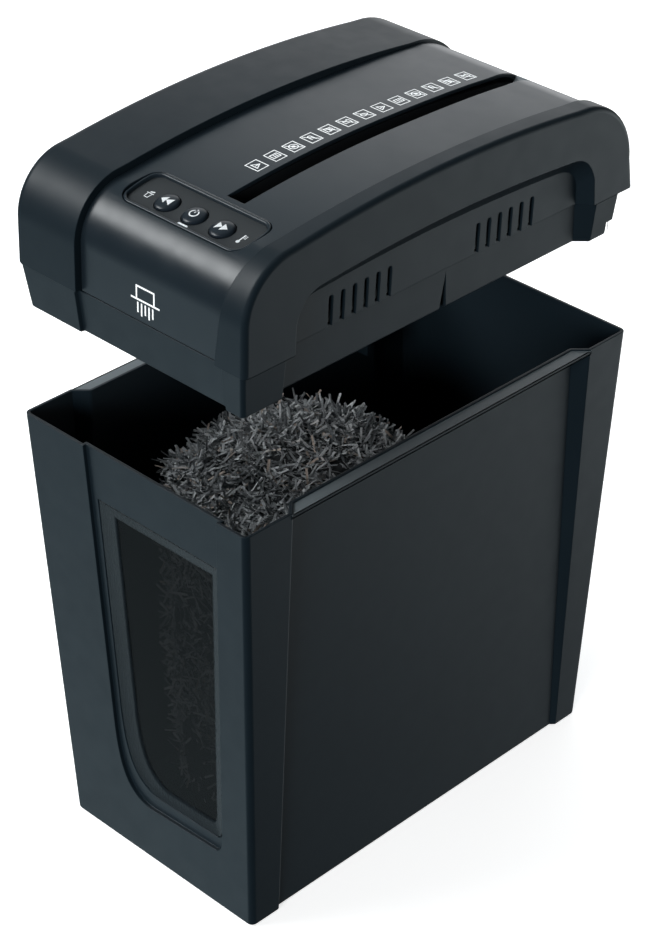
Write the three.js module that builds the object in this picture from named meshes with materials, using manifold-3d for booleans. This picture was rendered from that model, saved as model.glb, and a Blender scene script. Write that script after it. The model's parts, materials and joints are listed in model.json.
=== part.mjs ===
// Slim personal paper shredder: a cutting head that lifts off a tapered waste bin.
// Millimetres, +Z up, origin at the middle of the bin's base. -Y is the front (window end),
// the paper slot runs along Y, and the head is drawn lifted clear of the bin.
import * as THREE from 'three';
import { mergeVertices } from 'three/addons/utils/BufferGeometryUtils.js';
import Module from 'manifold-3d';

// ---------------------------------------------------------------- driving dimensions
const GAP = 0.35;               // clearance left between neighbouring pieces
const REACH = 400;              // longer than the whole object, for cutting right through

const BIN_HEIGHT = 295.3;
const BIN_WALL = 2.2;
const BIN_FLOOR = 2.5;
const BIN_TOP = { halfWidth: 93.4, recess: 85.4, front: -160.5, rear: 160.5, stepFront: -124.6, stepRear: 126.4 };
const BIN_BASE = { halfWidth: 80.8, recess: 78.1, front: -149.4, rear: 149.4, stepFront: -126.9, stepRear: 129.3 };
const BIN_CORNER = 3;
const FRONT_LEAN = (BIN_BASE.front - BIN_TOP.front) / BIN_HEIGHT;
const RIM_FLANGE = { inner: 83.4, thick: 2.2, drop: 1 };
const FRONT_PANEL_DEPTH = 2.5;
const WINDOW_SUNK = 0.5;        // how far the window lies behind the front panel's face
const WINDOW_FLANGE = 4;
const INTERLOCK_RIB = { x: [-84, -66], y: [98, 102], z: [236, 261.5] };

const HEAD_LIFT = 98.9;         // how far the head hangs above its seat
const SEAM = BIN_HEIGHT + HEAD_LIFT;
const HEAD_HALF_WIDTH = 93.4;
const SIDE_EASE = { width: 4, drop: 2.4 };
const SHELL_WALL = 2.4;
const LOWER_DEPTH = 28.8;
const LOWER_WALL = 2.2;

// side outline of the head, seen along X and measured from the seam
const NOSE = { foot: -159.3, y: -121.5, z: 26.9, radius: 37 };
const CROWN = { y: -4, z: -818.3, radius: 890 };
const TAIL = { foot: 157.1, y: 109.3, z: 19.5, radius: 45 };
const NOSE_JOIN = 97.9;         // degrees at which the three arcs meet
const TAIL_JOIN = 82.3;

// the centre panel: its right edge leans outwards by `flare` for each millimetre of height
const PANEL = { left: -41, right: 70, flare: 0.14, rear: 134, sunk: 4.2, thick: 2.4, ledge: 5, play: 0.3 };
const LEDGE = { thick: 2.2, side: 3.4, rear: 1.5 };
const SLOT = { x: 28.7, width: 13, front: -102.3, rear: 130 };

const INLAY = { x: 18.6, y: -122, z: 58.65, tilt: THREE.MathUtils.degToRad(10.8) };
const INLAY_PLATE = { halfLength: 47.6, halfWidth: 15.3, corner: 6, rim: 2.2, top: -1.6, bottom: -3.4 };
const INLAY_REACH = [-9, 9];     // deep enough to cut through the panel under the controls
const BUTTON = { radius: 7.3, hole: 7.8, pitch: 21.6, x: 1.2, y: -2.6 };
const SWITCH = { half: 3, body: [-14, -10.8], stud: 1.6, studTop: -10.1 };
const LIGHT_PIPE = { half: 3.5, y: [-12.5, -11.1], z: [-13.9, -1.3] };
const PIPE_HOLE = { half: 3.9, y: [-12.8, -10.8] };
const CONTROL_BOARD = { x: [-40, 42], y: [-13.5, 11.5], z: [-16, -14.35] };

const CUTTER = { axis: 1, spread: 14, disc: 15.5, core: 11, journal: 5, start: -97, pitch: 8.2, width: 3.8, count: 27 };
const CUTTER_A = { x: SLOT.x - CUTTER.spread, z: CUTTER.axis };
const CUTTER_B = { x: SLOT.x + CUTTER.spread, z: CUTTER.axis };
const CUTTER_END = 0.6;
const HOOK_DROP = 2.4;
const PLATE_THICK = 2;
const FRONT_PLATE = -102;
const REAR_PLATE = 127;

// gear train, from the motor to the first cutter: module, teeth and the angle to the next axle
const STAGE_1 = { module: 0.8, driver: 10, driven: 50 };
const STAGE_2 = { module: 1.0, driver: 11, driven: 42 };
const STAGE_3 = { module: 1.2, driver: 12, driven: 40 };
const SYNC = { module: 1.4, teeth: 20 };
const SECOND_IDLER = stepBack(CUTTER_A, STAGE_3, 150);
const FIRST_IDLER = stepBack(SECOND_IDLER, STAGE_2, 176);
const MOTOR = stepBack(FIRST_IDLER, STAGE_1, 235);
const MOTOR_BODY = { radius: 24, wall: 3, length: 64, front: FRONT_PLATE + PLATE_THICK + GAP, bore: 3.6 };
const MOTOR_REAR = MOTOR_BODY.front + MOTOR_BODY.length;
const FAN = { hub: 5, width: 5, blades: 6, gap: 2 };
const MAGNET_RING = { outer: 20.2, inner: 17.4 };
const AXLE_BORE = 3.4;
const JOURNAL_BORE = 5.5;
const ROTOR_BORE = 2.35;
const PIN_RADIUS = 3;
const SCREW_HOLE = 1.9;
const PLANE_1 = [-112, -105.5];
const PLANE_2 = [-123, -114];
const PLANE_3 = [-131, -125];
const GEARBOX_COVER = [-135.5, -133.5];

const THROAT = { top: 70, bottom: 17, wideOuter: 17.4, narrowOuter: 12.4, wideInner: 13.2, narrowInner: 8 };
const SENSOR = { emitter: [11, 20], receiver: [37.4, 46.4], span: [10, 18], level: [26, 34] };
const CAPACITOR = { x: [-74, -56], y: [20, 50], z: [-24, -8] };
const INTERLOCK_SWITCH = { x: [-76, -64], y: [94, 106], z: [-15.4, -6] };

// ---------------------------------------------------------------- finishes
const DARK_PLASTIC = finish(0x2a3136, 0.45, 0);
const GLOSS_PANEL = finish(0x30373b, 0.25, 0);
const INLAY_PLASTIC = finish(0x3a3d3e, 0.5, 0);
const BUTTON_PLASTIC = finish(0x1d262c, 0.3, 0);
const SMOKED_WINDOW = finish(0x1c2326, 0.12, 0);
const SHREDS = finish(0x4c5052, 0.9, 0);
const STEEL = finish(0x8b8f92, 0.35, 1);
const CUTTER_STEEL = finish(0x6d7073, 0.3, 1);
const NYLON = finish(0xd9d5c8, 0.5, 0);
const GREEN_BOARD = finish(0x1f5a35, 0.5, 0);
const CLEAR_PIPE = finish(0xe8eef0, 0.2, 0);
const MAGNET = finish(0x3b3a3c, 0.7, 0);
const BRONZE = finish(0xa47a45, 0.4, 1);
const BLACK_PLASTIC = finish(0x16181a, 0.5, 0);
const COPPER_WOUND = finish(0x8a5a3a, 0.4, 1);

function finish(color, roughness, metalness) {
  return new THREE.MeshStandardMaterial({ color, roughness, metalness });
}

// centre distance of a gear pair
function reach(stage) {
  return (stage.module * (stage.driver + stage.driven)) / 2;
}

// the axle that drives the gear at `axle`, found at the given angle in the XZ plane
function stepBack(axle, stage, degrees) {
  const angle = THREE.MathUtils.degToRad(degrees);
  return { x: axle.x + reach(stage) * Math.cos(angle), z: axle.z + reach(stage) * Math.sin(angle) };
}

function angleTo(from, to) {
  return Math.atan2(to.z - from.z, to.x - from.x);
}

// ---------------------------------------------------------------- solids
const wasm = await Module();
wasm.setup();

// a closed three.js geometry as a manifold solid
function solid(geometry) {
  const bare = new THREE.BufferGeometry();
  bare.setAttribute('position', geometry.getAttribute('position'));
  bare.setIndex(geometry.getIndex());
  const welded = mergeVertices(bare, 1e-4);
  const index = welded.getIndex().array;
  const triangles = [];
  for (let i = 0; i < index.length; i += 3) {
    const [a, b, c] = [index[i], index[i + 1], index[i + 2]];
    if (a !== b && b !== c && c !== a) triangles.push(a, b, c);
  }
  return new wasm.Manifold(new wasm.Mesh({
    numProp: 3,
    vertProperties: new Float32Array(welded.getAttribute('position').array),
    triVerts: new Uint32Array(triangles),
  }));
}

function geometryOf(body) {
  const mesh = body.getMesh();
  const geometry = new THREE.BufferGeometry();
  geometry.setAttribute('position', new THREE.BufferAttribute(new Float32Array(mesh.vertProperties), 3));
  geometry.setIndex(new THREE.BufferAttribute(new Uint32Array(mesh.triVerts), 1));
  geometry.computeVertexNormals();
  return geometry;
}

function block([x0, x1], [y0, y1], [z0, z1]) {
  const geometry = new THREE.BoxGeometry(x1 - x0, y1 - y0, z1 - z0);
  geometry.translate((x0 + x1) / 2, (y0 + y1) / 2, (z0 + z1) / 2);
  return solid(geometry);
}

function outline(points) {
  return new THREE.Shape(points.map(([u, v]) => new THREE.Vector2(u, v)));
}

function extrude(shape, depth) {
  return new THREE.ExtrudeGeometry(shape, { depth, bevelEnabled: false, curveSegments: 8 });
}

// prisms: the outline lies in (x, y), (y, z) or (x, z)
function prismZ(shape, [z0, z1]) {
  return solid(extrude(shape, z1 - z0).translate(0, 0, z0));
}

function standX(geometry) {
  const toX = new THREE.Matrix4().set(0, 0, 1, 0, 1, 0, 0, 0, 0, 1, 0, 0, 0, 0, 0, 1);
  return geometry.applyMatrix4(toX);
}

function prismX(shape, [x0, x1]) {
  return solid(standX(extrude(shape, x1 - x0)).translate(x0, 0, 0));
}

function prismY(shape, [y0, y1]) {
  return solid(extrude(shape, y1 - y0).rotateX(Math.PI / 2).translate(0, y1, 0));
}

// a solid that changes evenly from one outline to another with the same number of points
function loft(start, end, depth) {
  const geometry = extrude(outline(start), depth);
  const position = geometry.getAttribute('position');
  for (let i = 0; i < position.count; i += 1) {
    if (position.getZ(i) > depth / 2) {
      const near = ([u, v]) => Math.hypot(u - position.getX(i), v - position.getY(i)) < 1e-3;
      const [u, v] = end[start.findIndex(near)];
      position.setXY(i, u, v);
    }
  }
  return geometry;
}

// the outline moved inwards by the same distance on every side; points run anticlockwise
function inset(points, distance) {
  return points.map((point, i) => {
    const before = points[(i + points.length - 1) % points.length];
    const after = points[(i + 1) % points.length];
    const [ax, ay] = unit(before, point);
    const [bx, by] = unit(point, after);
    const turn = 1 + ax * bx + ay * by;
    return [point[0] - (distance * (ay + by)) / turn, point[1] + (distance * (ax + bx)) / turn];
  });
}

function unit([x0, y0], [x1, y1]) {
  const length = Math.hypot(x1 - x0, y1 - y0);
  return [(x1 - x0) / length, (y1 - y0) / length];
}

function rodY({ x, z }, radius, [y0, y1], sides = 12) {
  const geometry = new THREE.CylinderGeometry(radius, radius, y1 - y0, sides);
  return solid(geometry.translate(x, (y0 + y1) / 2, z));
}

function rodZ([x, y], radius, [z0, z1], sides = 12) {
  const geometry = new THREE.CylinderGeometry(radius, radius, z1 - z0, sides);
  return solid(geometry.rotateX(Math.PI / 2).translate(x, y, (z0 + z1) / 2));
}

// profile points are [radius, height]; they run outwards and upwards round the section
function turned(profile, sides = 12) {
  return new THREE.LatheGeometry(profile.map(([r, h]) => new THREE.Vector2(r, h)), sides);
}

function turnedY({ x, z }, profile, sides) {
  return solid(turned(profile, sides).translate(x, 0, z));
}

function turnedZ([x, y], profile, sides) {
  return solid(turned(profile, sides).rotateX(Math.PI / 2).translate(x, y, 0));
}

function roundedBox(halfLength, halfWidth, radius) {
  const shape = new THREE.Shape();
  shape.moveTo(-halfLength + radius, -halfWidth);
  shape.lineTo(halfLength - radius, -halfWidth);
  shape.absarc(halfLength - radius, -halfWidth + radius, radius, -Math.PI / 2, 0);
  shape.absarc(halfLength - radius, halfWidth - radius, radius, 0, Math.PI / 2);
  shape.absarc(-halfLength + radius, halfWidth - radius, radius, Math.PI / 2, Math.PI);
  shape.absarc(-halfLength + radius, -halfWidth + radius, radius, Math.PI, Math.PI * 1.5);
  return outline(shape.getPoints(3).map((p) => [p.x, p.y]).slice(0, -1));
}

// ---------------------------------------------------------------- scene
const shredder = new THREE.Group();
const bin = new THREE.Group();
const head = new THREE.Group();
const controls = new THREE.Group();
head.position.z = SEAM;
controls.position.set(INLAY.x, INLAY.y, INLAY.z);
controls.rotation.x = INLAY.tilt;
head.add(controls);
shredder.add(bin, head);

function add(group, name, body, material) {
  const mesh = new THREE.Mesh(geometryOf(body), material);
  mesh.name = name;
  group.add(mesh);
}

// ---------------------------------------------------------------- bin
function mixed(from, to, share) {
  const entries = Object.keys(from).map((key) => [key, from[key] + (to[key] - from[key]) * share]);
  return Object.fromEntries(entries);
}

// plan of the bin at one level: four corner pillars with a recessed panel on each long side
function binPlan({ halfWidth, recess, front, rear, stepFront, stepRear }) {
  const inward = halfWidth - recess;
  const side = [
    [halfWidth - BIN_CORNER, front],
    [halfWidth, front + BIN_CORNER],
    [halfWidth, stepFront],
    [recess, stepFront + inward],
    [recess, stepRear - inward],
    [halfWidth, stepRear],
    [halfWidth, rear - BIN_CORNER],
    [halfWidth - BIN_CORNER, rear],
  ];
  const mirrored = side.map(([x, y]) => [-x, y]).reverse();
  return [...side, ...mirrored];
}

// follow the lean of the front wall
function leaned(body) {
  const lean = new THREE.Matrix4().makeShear(0, 0, 0, 0, 0, 0);
  lean.elements[9] = -FRONT_LEAN;
  return body.transform(lean.elements);
}

// recessed front panel: nearly straight sides, one large and one small lower corner
function frontPanelShape(grow = 0) {
  const shape = new THREE.Shape();
  shape.moveTo(-41 - grow, BIN_HEIGHT + 5);
  shape.lineTo(-37 - grow, 150);
  shape.bezierCurveTo(-33 - grow, 70, -26 - grow, 42 - grow, 14, 38.6 - grow);
  shape.lineTo(52, 45 - grow);
  shape.lineTo(58 + grow, 54);
  shape.lineTo(70 + grow, BIN_HEIGHT + 5);
  return shape;
}

function windowShape(grow = 0) {
  const shape = new THREE.Shape();
  shape.moveTo(-34.5 - grow, 260 + grow);
  shape.lineTo(-32.2 - grow, 152);
  shape.bezierCurveTo(-28 - grow, 72, -22 - grow, 53 - grow, 12, 49.5 - grow);
  shape.lineTo(51 + grow, 53.5 - grow);
  shape.lineTo(56.5 + grow, 60);
  shape.lineTo(66.5 + grow, 260.4 + grow);
  return shape;
}

function binBody() {
  const outer = solid(loft(binPlan(BIN_BASE), binPlan(BIN_TOP), BIN_HEIGHT));
  const innerTop = inset(binPlan(BIN_TOP), BIN_WALL);
  const innerBase = inset(binPlan(BIN_BASE), BIN_WALL);
  const hollow = solid(loft(innerBase, innerTop, BIN_HEIGHT)).translate([0, 0, BIN_FLOOR]);
  const face = BIN_BASE.front + FRONT_PANEL_DEPTH;
  const frontBacking = leaned(prismY(frontPanelShape(BIN_WALL), [face - 10, face + BIN_WALL]));
  const pocket = leaned(prismY(frontPanelShape(), [BIN_BASE.front - 10, face]));
  const opening = leaned(prismY(windowShape(), [face - 10, face + 10]));
  const flangeTop = BIN_HEIGHT - RIM_FLANGE.drop;
  let body = outer;
  for (const side of [-1, 1]) {
    const edges = [side * RIM_FLANGE.inner, side * BIN_TOP.halfWidth].sort((a, b) => a - b);
    const along = [BIN_TOP.stepFront - 1, BIN_TOP.stepRear + 1];
    body = body.add(block(edges, along, [flangeTop - RIM_FLANGE.thick, flangeTop]));
  }
  const rib = block(INTERLOCK_RIB.x, INTERLOCK_RIB.y, INTERLOCK_RIB.z);
  return body.subtract(hollow.subtract(frontBacking)).subtract(pocket).subtract(opening).add(rib);
}

function binWindow() {
  const face = BIN_BASE.front + FRONT_PANEL_DEPTH;
  const pane = prismY(windowShape(-GAP), [face + WINDOW_SUNK, face + BIN_WALL + 2]);
  const flange = prismY(windowShape(WINDOW_FLANGE), [face + BIN_WALL + GAP, face + BIN_WALL + 2]);
  return leaned(pane.add(flange));
}

// plan of the heap of shreds: it fills the front right of the bin and tails off to the left
const HEAP_PLAN = [[8, -138], [72, -138], [76, -60], [76, 34], [10, 42], [-44, 22], [-60, -40], [-44, -90]];

const HEAP = { centre: [20, -50], top: 261.5, crust: 60, wall: 0.05 };

function heapRing(scale, lift) {
  const [cx, cy] = HEAP.centre;
  return HEAP_PLAN.map(([x, y]) => [cx + (x - cx) * scale, cy + (y - cy) * scale, lift]);
}

// thin crust over the heap, open underneath: loose shreds weigh little for their size
function heapOf(shrink, base) {
  const crust = shrink * HEAP.crust;
  const levels = [[0.8 - shrink, base], [1 - shrink, 120], [1 - shrink, 215 - crust], [0.86 - shrink, 250 - crust],
    [0.6 - shrink, HEAP.top - crust]];
  let body = null;
  for (let i = 0; i + 1 < levels.length; i += 1) {
    const [low, high] = [heapRing(...levels[i]), heapRing(...levels[i + 1])];
    const layer = solid(loft(low, high, high[0][2] - low[0][2])).translate([0, 0, low[0][2]]);
    body = body ? body.add(layer) : layer;
  }
  return body;
}

function shreddedPaper() {
  const floor = BIN_FLOOR + GAP;
  return heapOf(0, floor).subtract(heapOf(HEAP.wall, floor - 1));
}

add(bin, 'bin_body', binBody(), DARK_PLASTIC);
add(bin, 'bin_window', binWindow(), SMOKED_WINDOW);
add(bin, 'shredded_paper', shreddedPaper(), SHREDS);

// ---------------------------------------------------------------- head shells
function arc({ y, z, radius }, fromDegrees, toDegrees, steps) {
  const points = [];
  for (let i = 0; i <= steps; i += 1) {
    const angle = THREE.MathUtils.degToRad(fromDegrees + ((toDegrees - fromDegrees) * i) / steps);
    points.push([y + radius * Math.cos(angle), z + radius * Math.sin(angle)]);
  }
  return points;
}

// side outline of the head as (y, z), moved inwards by `depth`, standing on `bottom`
function headOutline(depth, bottom = 0) {
  const shrunk = (part) => ({ ...part, radius: part.radius - depth });
  const top = [
    ...arc(shrunk(NOSE), 180, NOSE_JOIN, 6),
    ...arc(shrunk(CROWN), NOSE_JOIN, TAIL_JOIN, 8).slice(1, -1),
    ...arc(shrunk(TAIL), TAIL_JOIN, 0, 6),
  ];
  return [[TAIL.foot - depth, bottom], [NOSE.foot + depth, bottom], ...top].reverse();
}

function headSolid(depth, across, bottom = 0) {
  return prismX(outline(headOutline(depth, bottom)), across);
}

// the outer form, with its two upper side edges eased
function headForm() {
  const { width, drop } = SIDE_EASE;
  const flat = HEAD_HALF_WIDTH - width;
  const [full, eased] = [headOutline(0), headOutline(drop)];
  const capLeft = solid(standX(loft(eased, full, width))).translate([-HEAD_HALF_WIDTH, 0, 0]);
  const capRight = solid(standX(loft(full, eased, width))).translate([flat, 0, 0]);
  return headSolid(0, [-flat, flat]).add(capLeft).add(capRight);
}

// low arch cut into each long side above the vents
function archOutline(foot, shoulder, corner, height) {
  const shape = new THREE.Shape();
  shape.moveTo(-foot, -10);
  shape.lineTo(-shoulder, height * 0.45);
  shape.quadraticCurveTo(-corner, height * 0.84, -corner + 14, height * 0.875);
  shape.quadraticCurveTo(0, height * 1.125, corner - 14, height * 0.875);
  shape.quadraticCurveTo(corner, height * 0.84, shoulder, height * 0.45);
  shape.lineTo(foot, -10);
  return shape.getPoints(4).map((p) => [p.x, p.y]).reverse();
}

const ARCH = { outer: [122.4, 120.5, 116, 40], inner: [116, 115.2, 112, 29.8], depth: 9 };
const ARCH_BACKING = { inner: 82, half: 125, top: 42.6 };

function archCut(side) {
  const inner = archOutline(...ARCH.inner);
  const outer = archOutline(...ARCH.outer);
  const face = HEAD_HALF_WIDTH - ARCH.depth;
  if (side > 0) return solid(standX(loft(inner, outer, ARCH.depth))).translate([face, 0, 0]);
  return solid(standX(loft(outer, inner, ARCH.depth))).translate([-HEAD_HALF_WIDTH, 0, 0]);
}

const VENT = { first: [-86, 30.9], pitch: 9.1, count: 6, width: 3.2, height: 20, reach: [80, 86] };
const SCREWS = [[-79, -143], [79, -143], [-79, 133], [79, 133]];
const REAR_VENTS = { x: SLOT.x - 13, count: 9, pitch: 10, width: 5, level: [50, 51.6], reach: [136.6, 170] };
const BOSS = { radius: 4.5, bottom: 1, pilotTop: 14 };
const POST = { radius: 6, hole: 2.2, well: 4.2, wellTop: -20 };

// everything between the two edges of the centre panel, over the given length
function panelRegion(grow, [y0, y1]) {
  const [low, high] = [-40, 100];
  const right = (z) => PANEL.right + PANEL.flare * z + grow;
  const left = PANEL.left - grow;
  return prismY(outline([[left, low], [right(low), low], [right(high), high], [left, high]]), [y0, y1]);
}

function upperShell() {
  const all = [-REACH, REACH];
  const innerSide = HEAD_HALF_WIDTH - SHELL_WALL;
  const webLeft = PANEL.left - SHELL_WALL;
  const behindPanel = PANEL.sunk + PANEL.thick + PANEL.play;
  const web = panelRegion(SHELL_WALL, all);
  let shell = headForm();

  const across = [PANEL.left - 1, innerSide];
  const above = panelRegion(0, [-REACH, PANEL.rear]);
  shell = shell.subtract(above.subtract(headSolid(behindPanel, across, -50)));

  const { inner, half, top } = ARCH_BACKING;
  const archBlock = (side) => block([side * REACH, side * inner].sort((a, b) => a - b), [-half, half], [-30, top]);
  shell = shell.subtract(headSolid(SHELL_WALL, [-innerSide, webLeft], -20).subtract(archBlock(-1)));
  const rightHollow = headSolid(SHELL_WALL, [PANEL.right, innerSide], -20).subtract(web);
  shell = shell.subtract(rightHollow.subtract(archBlock(1)));
  const underLedge = headSolid(behindPanel + LEDGE.thick, [webLeft - 1, innerSide], -20);
  shell = shell.subtract(underLedge.intersect(panelRegion(LEDGE.side, all)));
  const tail = block([webLeft - 1, innerSide], [PANEL.rear + SHELL_WALL, REACH], [-REACH, REACH]);
  shell = shell.subtract(headSolid(SHELL_WALL, [webLeft - 1, innerSide], -20).intersect(tail));
  const inside = [PANEL.left + PANEL.ledge, PANEL.right - PANEL.ledge];
  shell = shell.subtract(block(inside, [-REACH, PANEL.rear - LEDGE.rear], [-10, REACH]));
  shell = shell.subtract(inlayCutter(0.4, INLAY_REACH));

  for (const side of [-1, 1]) {
    shell = shell.subtract(archCut(side));
    for (const first of VENT.first) {
      for (let i = 0; i < VENT.count; i += 1) {
        const y = first + i * VENT.pitch;
        const through = VENT.reach.map((x) => side * x).sort((a, b) => a - b);
        shell = shell.subtract(block(through, [y - VENT.width / 2, y + VENT.width / 2], [-5, VENT.height]));
      }
    }
  }
  for (let i = 0; i < REAR_VENTS.count; i += 1) {
    const x = REAR_VENTS.x + (i - (REAR_VENTS.count - 1) / 2) * REAR_VENTS.pitch;
    const across = [x - REAR_VENTS.width / 2, x + REAR_VENTS.width / 2];
    shell = shell.subtract(block(across, REAR_VENTS.reach, REAR_VENTS.level));
  }
  for (const [x, y] of SCREWS) {
    const column = rodZ([x, y], BOSS.radius, [BOSS.bottom, REACH], 8);
    const boss = column.intersect(headSolid(SHELL_WALL / 2, [-innerSide, innerSide]));
    const pilot = rodZ([x, y], SCREW_HOLE, [-1, BOSS.pilotTop], 8);
    shell = shell.add(boss.subtract(panelRegion(SHELL_WALL / 2, all))).subtract(pilot);
  }
  return shell;
}

function inlayCutter(grow, [z0, z1]) {
  const shape = roundedBox(INLAY_PLATE.halfLength + grow, INLAY_PLATE.halfWidth + grow, INLAY_PLATE.corner);
  const geometry = extrude(shape, z1 - z0);
  geometry.translate(0, 0, z0).rotateX(INLAY.tilt).translate(INLAY.x, INLAY.y, INLAY.z);
  return solid(geometry);
}

function slotPrism(width, [z0, z1]) {
  return block([SLOT.x - width / 2, SLOT.x + width / 2], [SLOT.front, SLOT.rear], [z0, z1]);
}

function centrePanel() {
  const across = [PANEL.left - 1, HEAD_HALF_WIDTH];
  const skin = headSolid(PANEL.sunk, across).subtract(headSolid(PANEL.sunk + PANEL.thick, across, -10));
  const kept = panelRegion(-PANEL.play, [-REACH, PANEL.rear - PANEL.play]);
  return skin.intersect(kept).subtract(slotPrism(SLOT.width, [30, 90])).subtract(inlayCutter(GAP, INLAY_REACH));
}

// plan of the lower shell at one level, following the inside of the bin's rim
const LOWER_STEPS = { left: -43.9, right: 74, ramp: 0.5, front: -125.8, rear: 127.6, corner: 2 };

function lowerPlan({ pillar, recess, front, centre, rear }) {
  const { left, right, ramp, corner } = LOWER_STEPS;
  const inward = pillar - recess;
  const frontFace = [[left, front], [left + ramp, centre], [right - ramp, centre], [right, front]];
  const side = [
    [pillar - corner, front],
    [pillar, front + corner],
    [pillar, LOWER_STEPS.front],
    [recess, LOWER_STEPS.front + inward],
    [recess, LOWER_STEPS.rear - inward],
    [pillar, LOWER_STEPS.rear],
    [pillar, rear],
  ];
  const mirrored = side.map(([x, y]) => [-x, y]).reverse();
  return [...frontFace, ...side, ...mirrored];
}

const LOWER_TOP = { pillar: 90.7, recess: 81.5, front: -157.8, centre: -155.3, rear: 148.7 };
const LOWER_BASE = { pillar: 87, recess: 79.9, front: -154.8, centre: -152.3, rear: 147 };
const OUTLET = { x: [-3, 60.4], y: [-97, 124] };
const GLAND = { x: -60, z: -12 };
const PLUNGER = [-70, 100];
const GLAND_HOLE = 6.4;
const PLUNGER_HOLE = 2.4;
const REAR_STEP = { half: 84, y: 141, top: -20, wall: 2.2 };
const FIN_NOTCH = [[5, -40], [10, -40], [10, 1 - LOWER_DEPTH], [8.2, -6.7], [5, 1 - LOWER_DEPTH]];

function lowerShell() {
  const depth = LOWER_DEPTH - GAP;
  const outer = solid(loft(lowerPlan(LOWER_BASE), lowerPlan(LOWER_TOP), depth)).translate([0, 0, -LOWER_DEPTH]);
  const innerBase = inset(lowerPlan(LOWER_BASE), LOWER_WALL);
  const innerTop = inset(lowerPlan(LOWER_TOP), LOWER_WALL);
  const hollow = solid(loft(innerBase, innerTop, depth)).translate([0, 0, -LOWER_DEPTH + LOWER_WALL + 0.2]);
  let shell = outer.subtract(hollow);
  for (const [x, y] of SCREWS) {
    const post = rodZ([x, y], POST.radius, [-LOWER_DEPTH + 1, -GAP], 8);
    const hole = rodZ([x, y], POST.hole, [-REACH, REACH], 8);
    const well = rodZ([x, y], POST.well, [-REACH, POST.wellTop], 8);
    shell = shell.add(post.intersect(outer)).subtract(hole).subtract(well);
  }
  const { half, y, top, wall } = REAR_STEP;
  shell = shell.subtract(block(OUTLET.x, OUTLET.y, [-REACH, top]));
  shell = shell.subtract(block([-REACH, REACH], [y, REACH], [-LOWER_DEPTH - 1, top]));
  const stepWall = block([-half, half], [y - wall, y], [-LOWER_DEPTH, top + wall]);
  const stepRoof = block([-half, half], [y - wall, REACH], [top, top + wall]);
  shell = shell.add(stepWall.add(stepRoof).intersect(outer));
  shell = shell.subtract(rodY(GLAND, GLAND_HOLE, [y + 3, REACH], 12));
  shell = shell.subtract(rodZ(PLUNGER, PLUNGER_HOLE, [-REACH, top], 8));
  return shell.subtract(prismX(outline(FIN_NOTCH), [HEAD_HALF_WIDTH - 17, HEAD_HALF_WIDTH - 9]));
}

add(head, 'upper_shell', upperShell(), DARK_PLASTIC);
add(head, 'centre_panel', centrePanel(), GLOSS_PANEL);
add(head, 'lower_shell', lowerShell(), DARK_PLASTIC);

SCREWS.forEach(([x, y], i) => {
  const profile = [[0, -23], [3.7, -23], [3.7, -20.4], [1.5, -20.4], [1.5, 11], [0, 12]];
  add(head, `shell_screw_${i + 1}`, turnedZ([x, y], profile, 8), STEEL);
});

const glandProfile = [[3.6, 145], [6, 145], [6, 149.1], [8.6, 149.1], [8.6, 151.5], [3.6, 151.5], [3.6, 145]];
add(head, 'cord_gland', turnedY(GLAND, glandProfile, 12), BLACK_PLASTIC);

// ---------------------------------------------------------------- control panel
function controlInlay() {
  const { halfLength, halfWidth, corner, rim, top, bottom } = INLAY_PLATE;
  const tray = prismZ(roundedBox(halfLength, halfWidth, corner), [bottom, 0]);
  const recess = prismZ(roundedBox(halfLength - rim, halfWidth - rim, corner - rim), [top, 2]);
  let inlay = tray.subtract(recess);
  for (const place of [-1, 0, 1]) {
    const x = BUTTON.x + place * BUTTON.pitch;
    inlay = inlay.subtract(rodZ([x, BUTTON.y], BUTTON.hole, INLAY_REACH, 12));
  }
  const pipeHole = [BUTTON.x - PIPE_HOLE.half, BUTTON.x + PIPE_HOLE.half];
  return inlay.subtract(block(pipeHole, PIPE_HOLE.y, INLAY_REACH));
}

const buttonProfile = [[0, -9], [2, -9], [2, -5.6], [8, -5.6], [8, -4], [BUTTON.radius, -4],
  [BUTTON.radius, -1], [6.2, -0.1], [4, 0.4], [0, 0.7]];

add(controls, 'control_inlay', controlInlay(), INLAY_PLASTIC);
['rewind', 'power', 'forward'].forEach((name, i) => {
  const x = BUTTON.x + (i - 1) * BUTTON.pitch;
  add(controls, `${name}_button`, turnedZ([x, BUTTON.y], buttonProfile, 12), BUTTON_PLASTIC);
  const { half, body: level, stud: radius, studTop } = SWITCH;
  const body = block([x - half, x + half], [BUTTON.y - half, BUTTON.y + half], level);
  const stud = rodZ([x, BUTTON.y], radius, [level[1] - GAP, studTop], 8);
  add(controls, `${name}_switch`, body.add(stud), BLACK_PLASTIC);
});
const pipeSpan = [BUTTON.x - LIGHT_PIPE.half, BUTTON.x + LIGHT_PIPE.half];
add(controls, 'status_light_pipe', block(pipeSpan, LIGHT_PIPE.y, LIGHT_PIPE.z), CLEAR_PIPE);
add(controls, 'control_board', block(CONTROL_BOARD.x, CONTROL_BOARD.y, CONTROL_BOARD.z), GREEN_BOARD);

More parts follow.
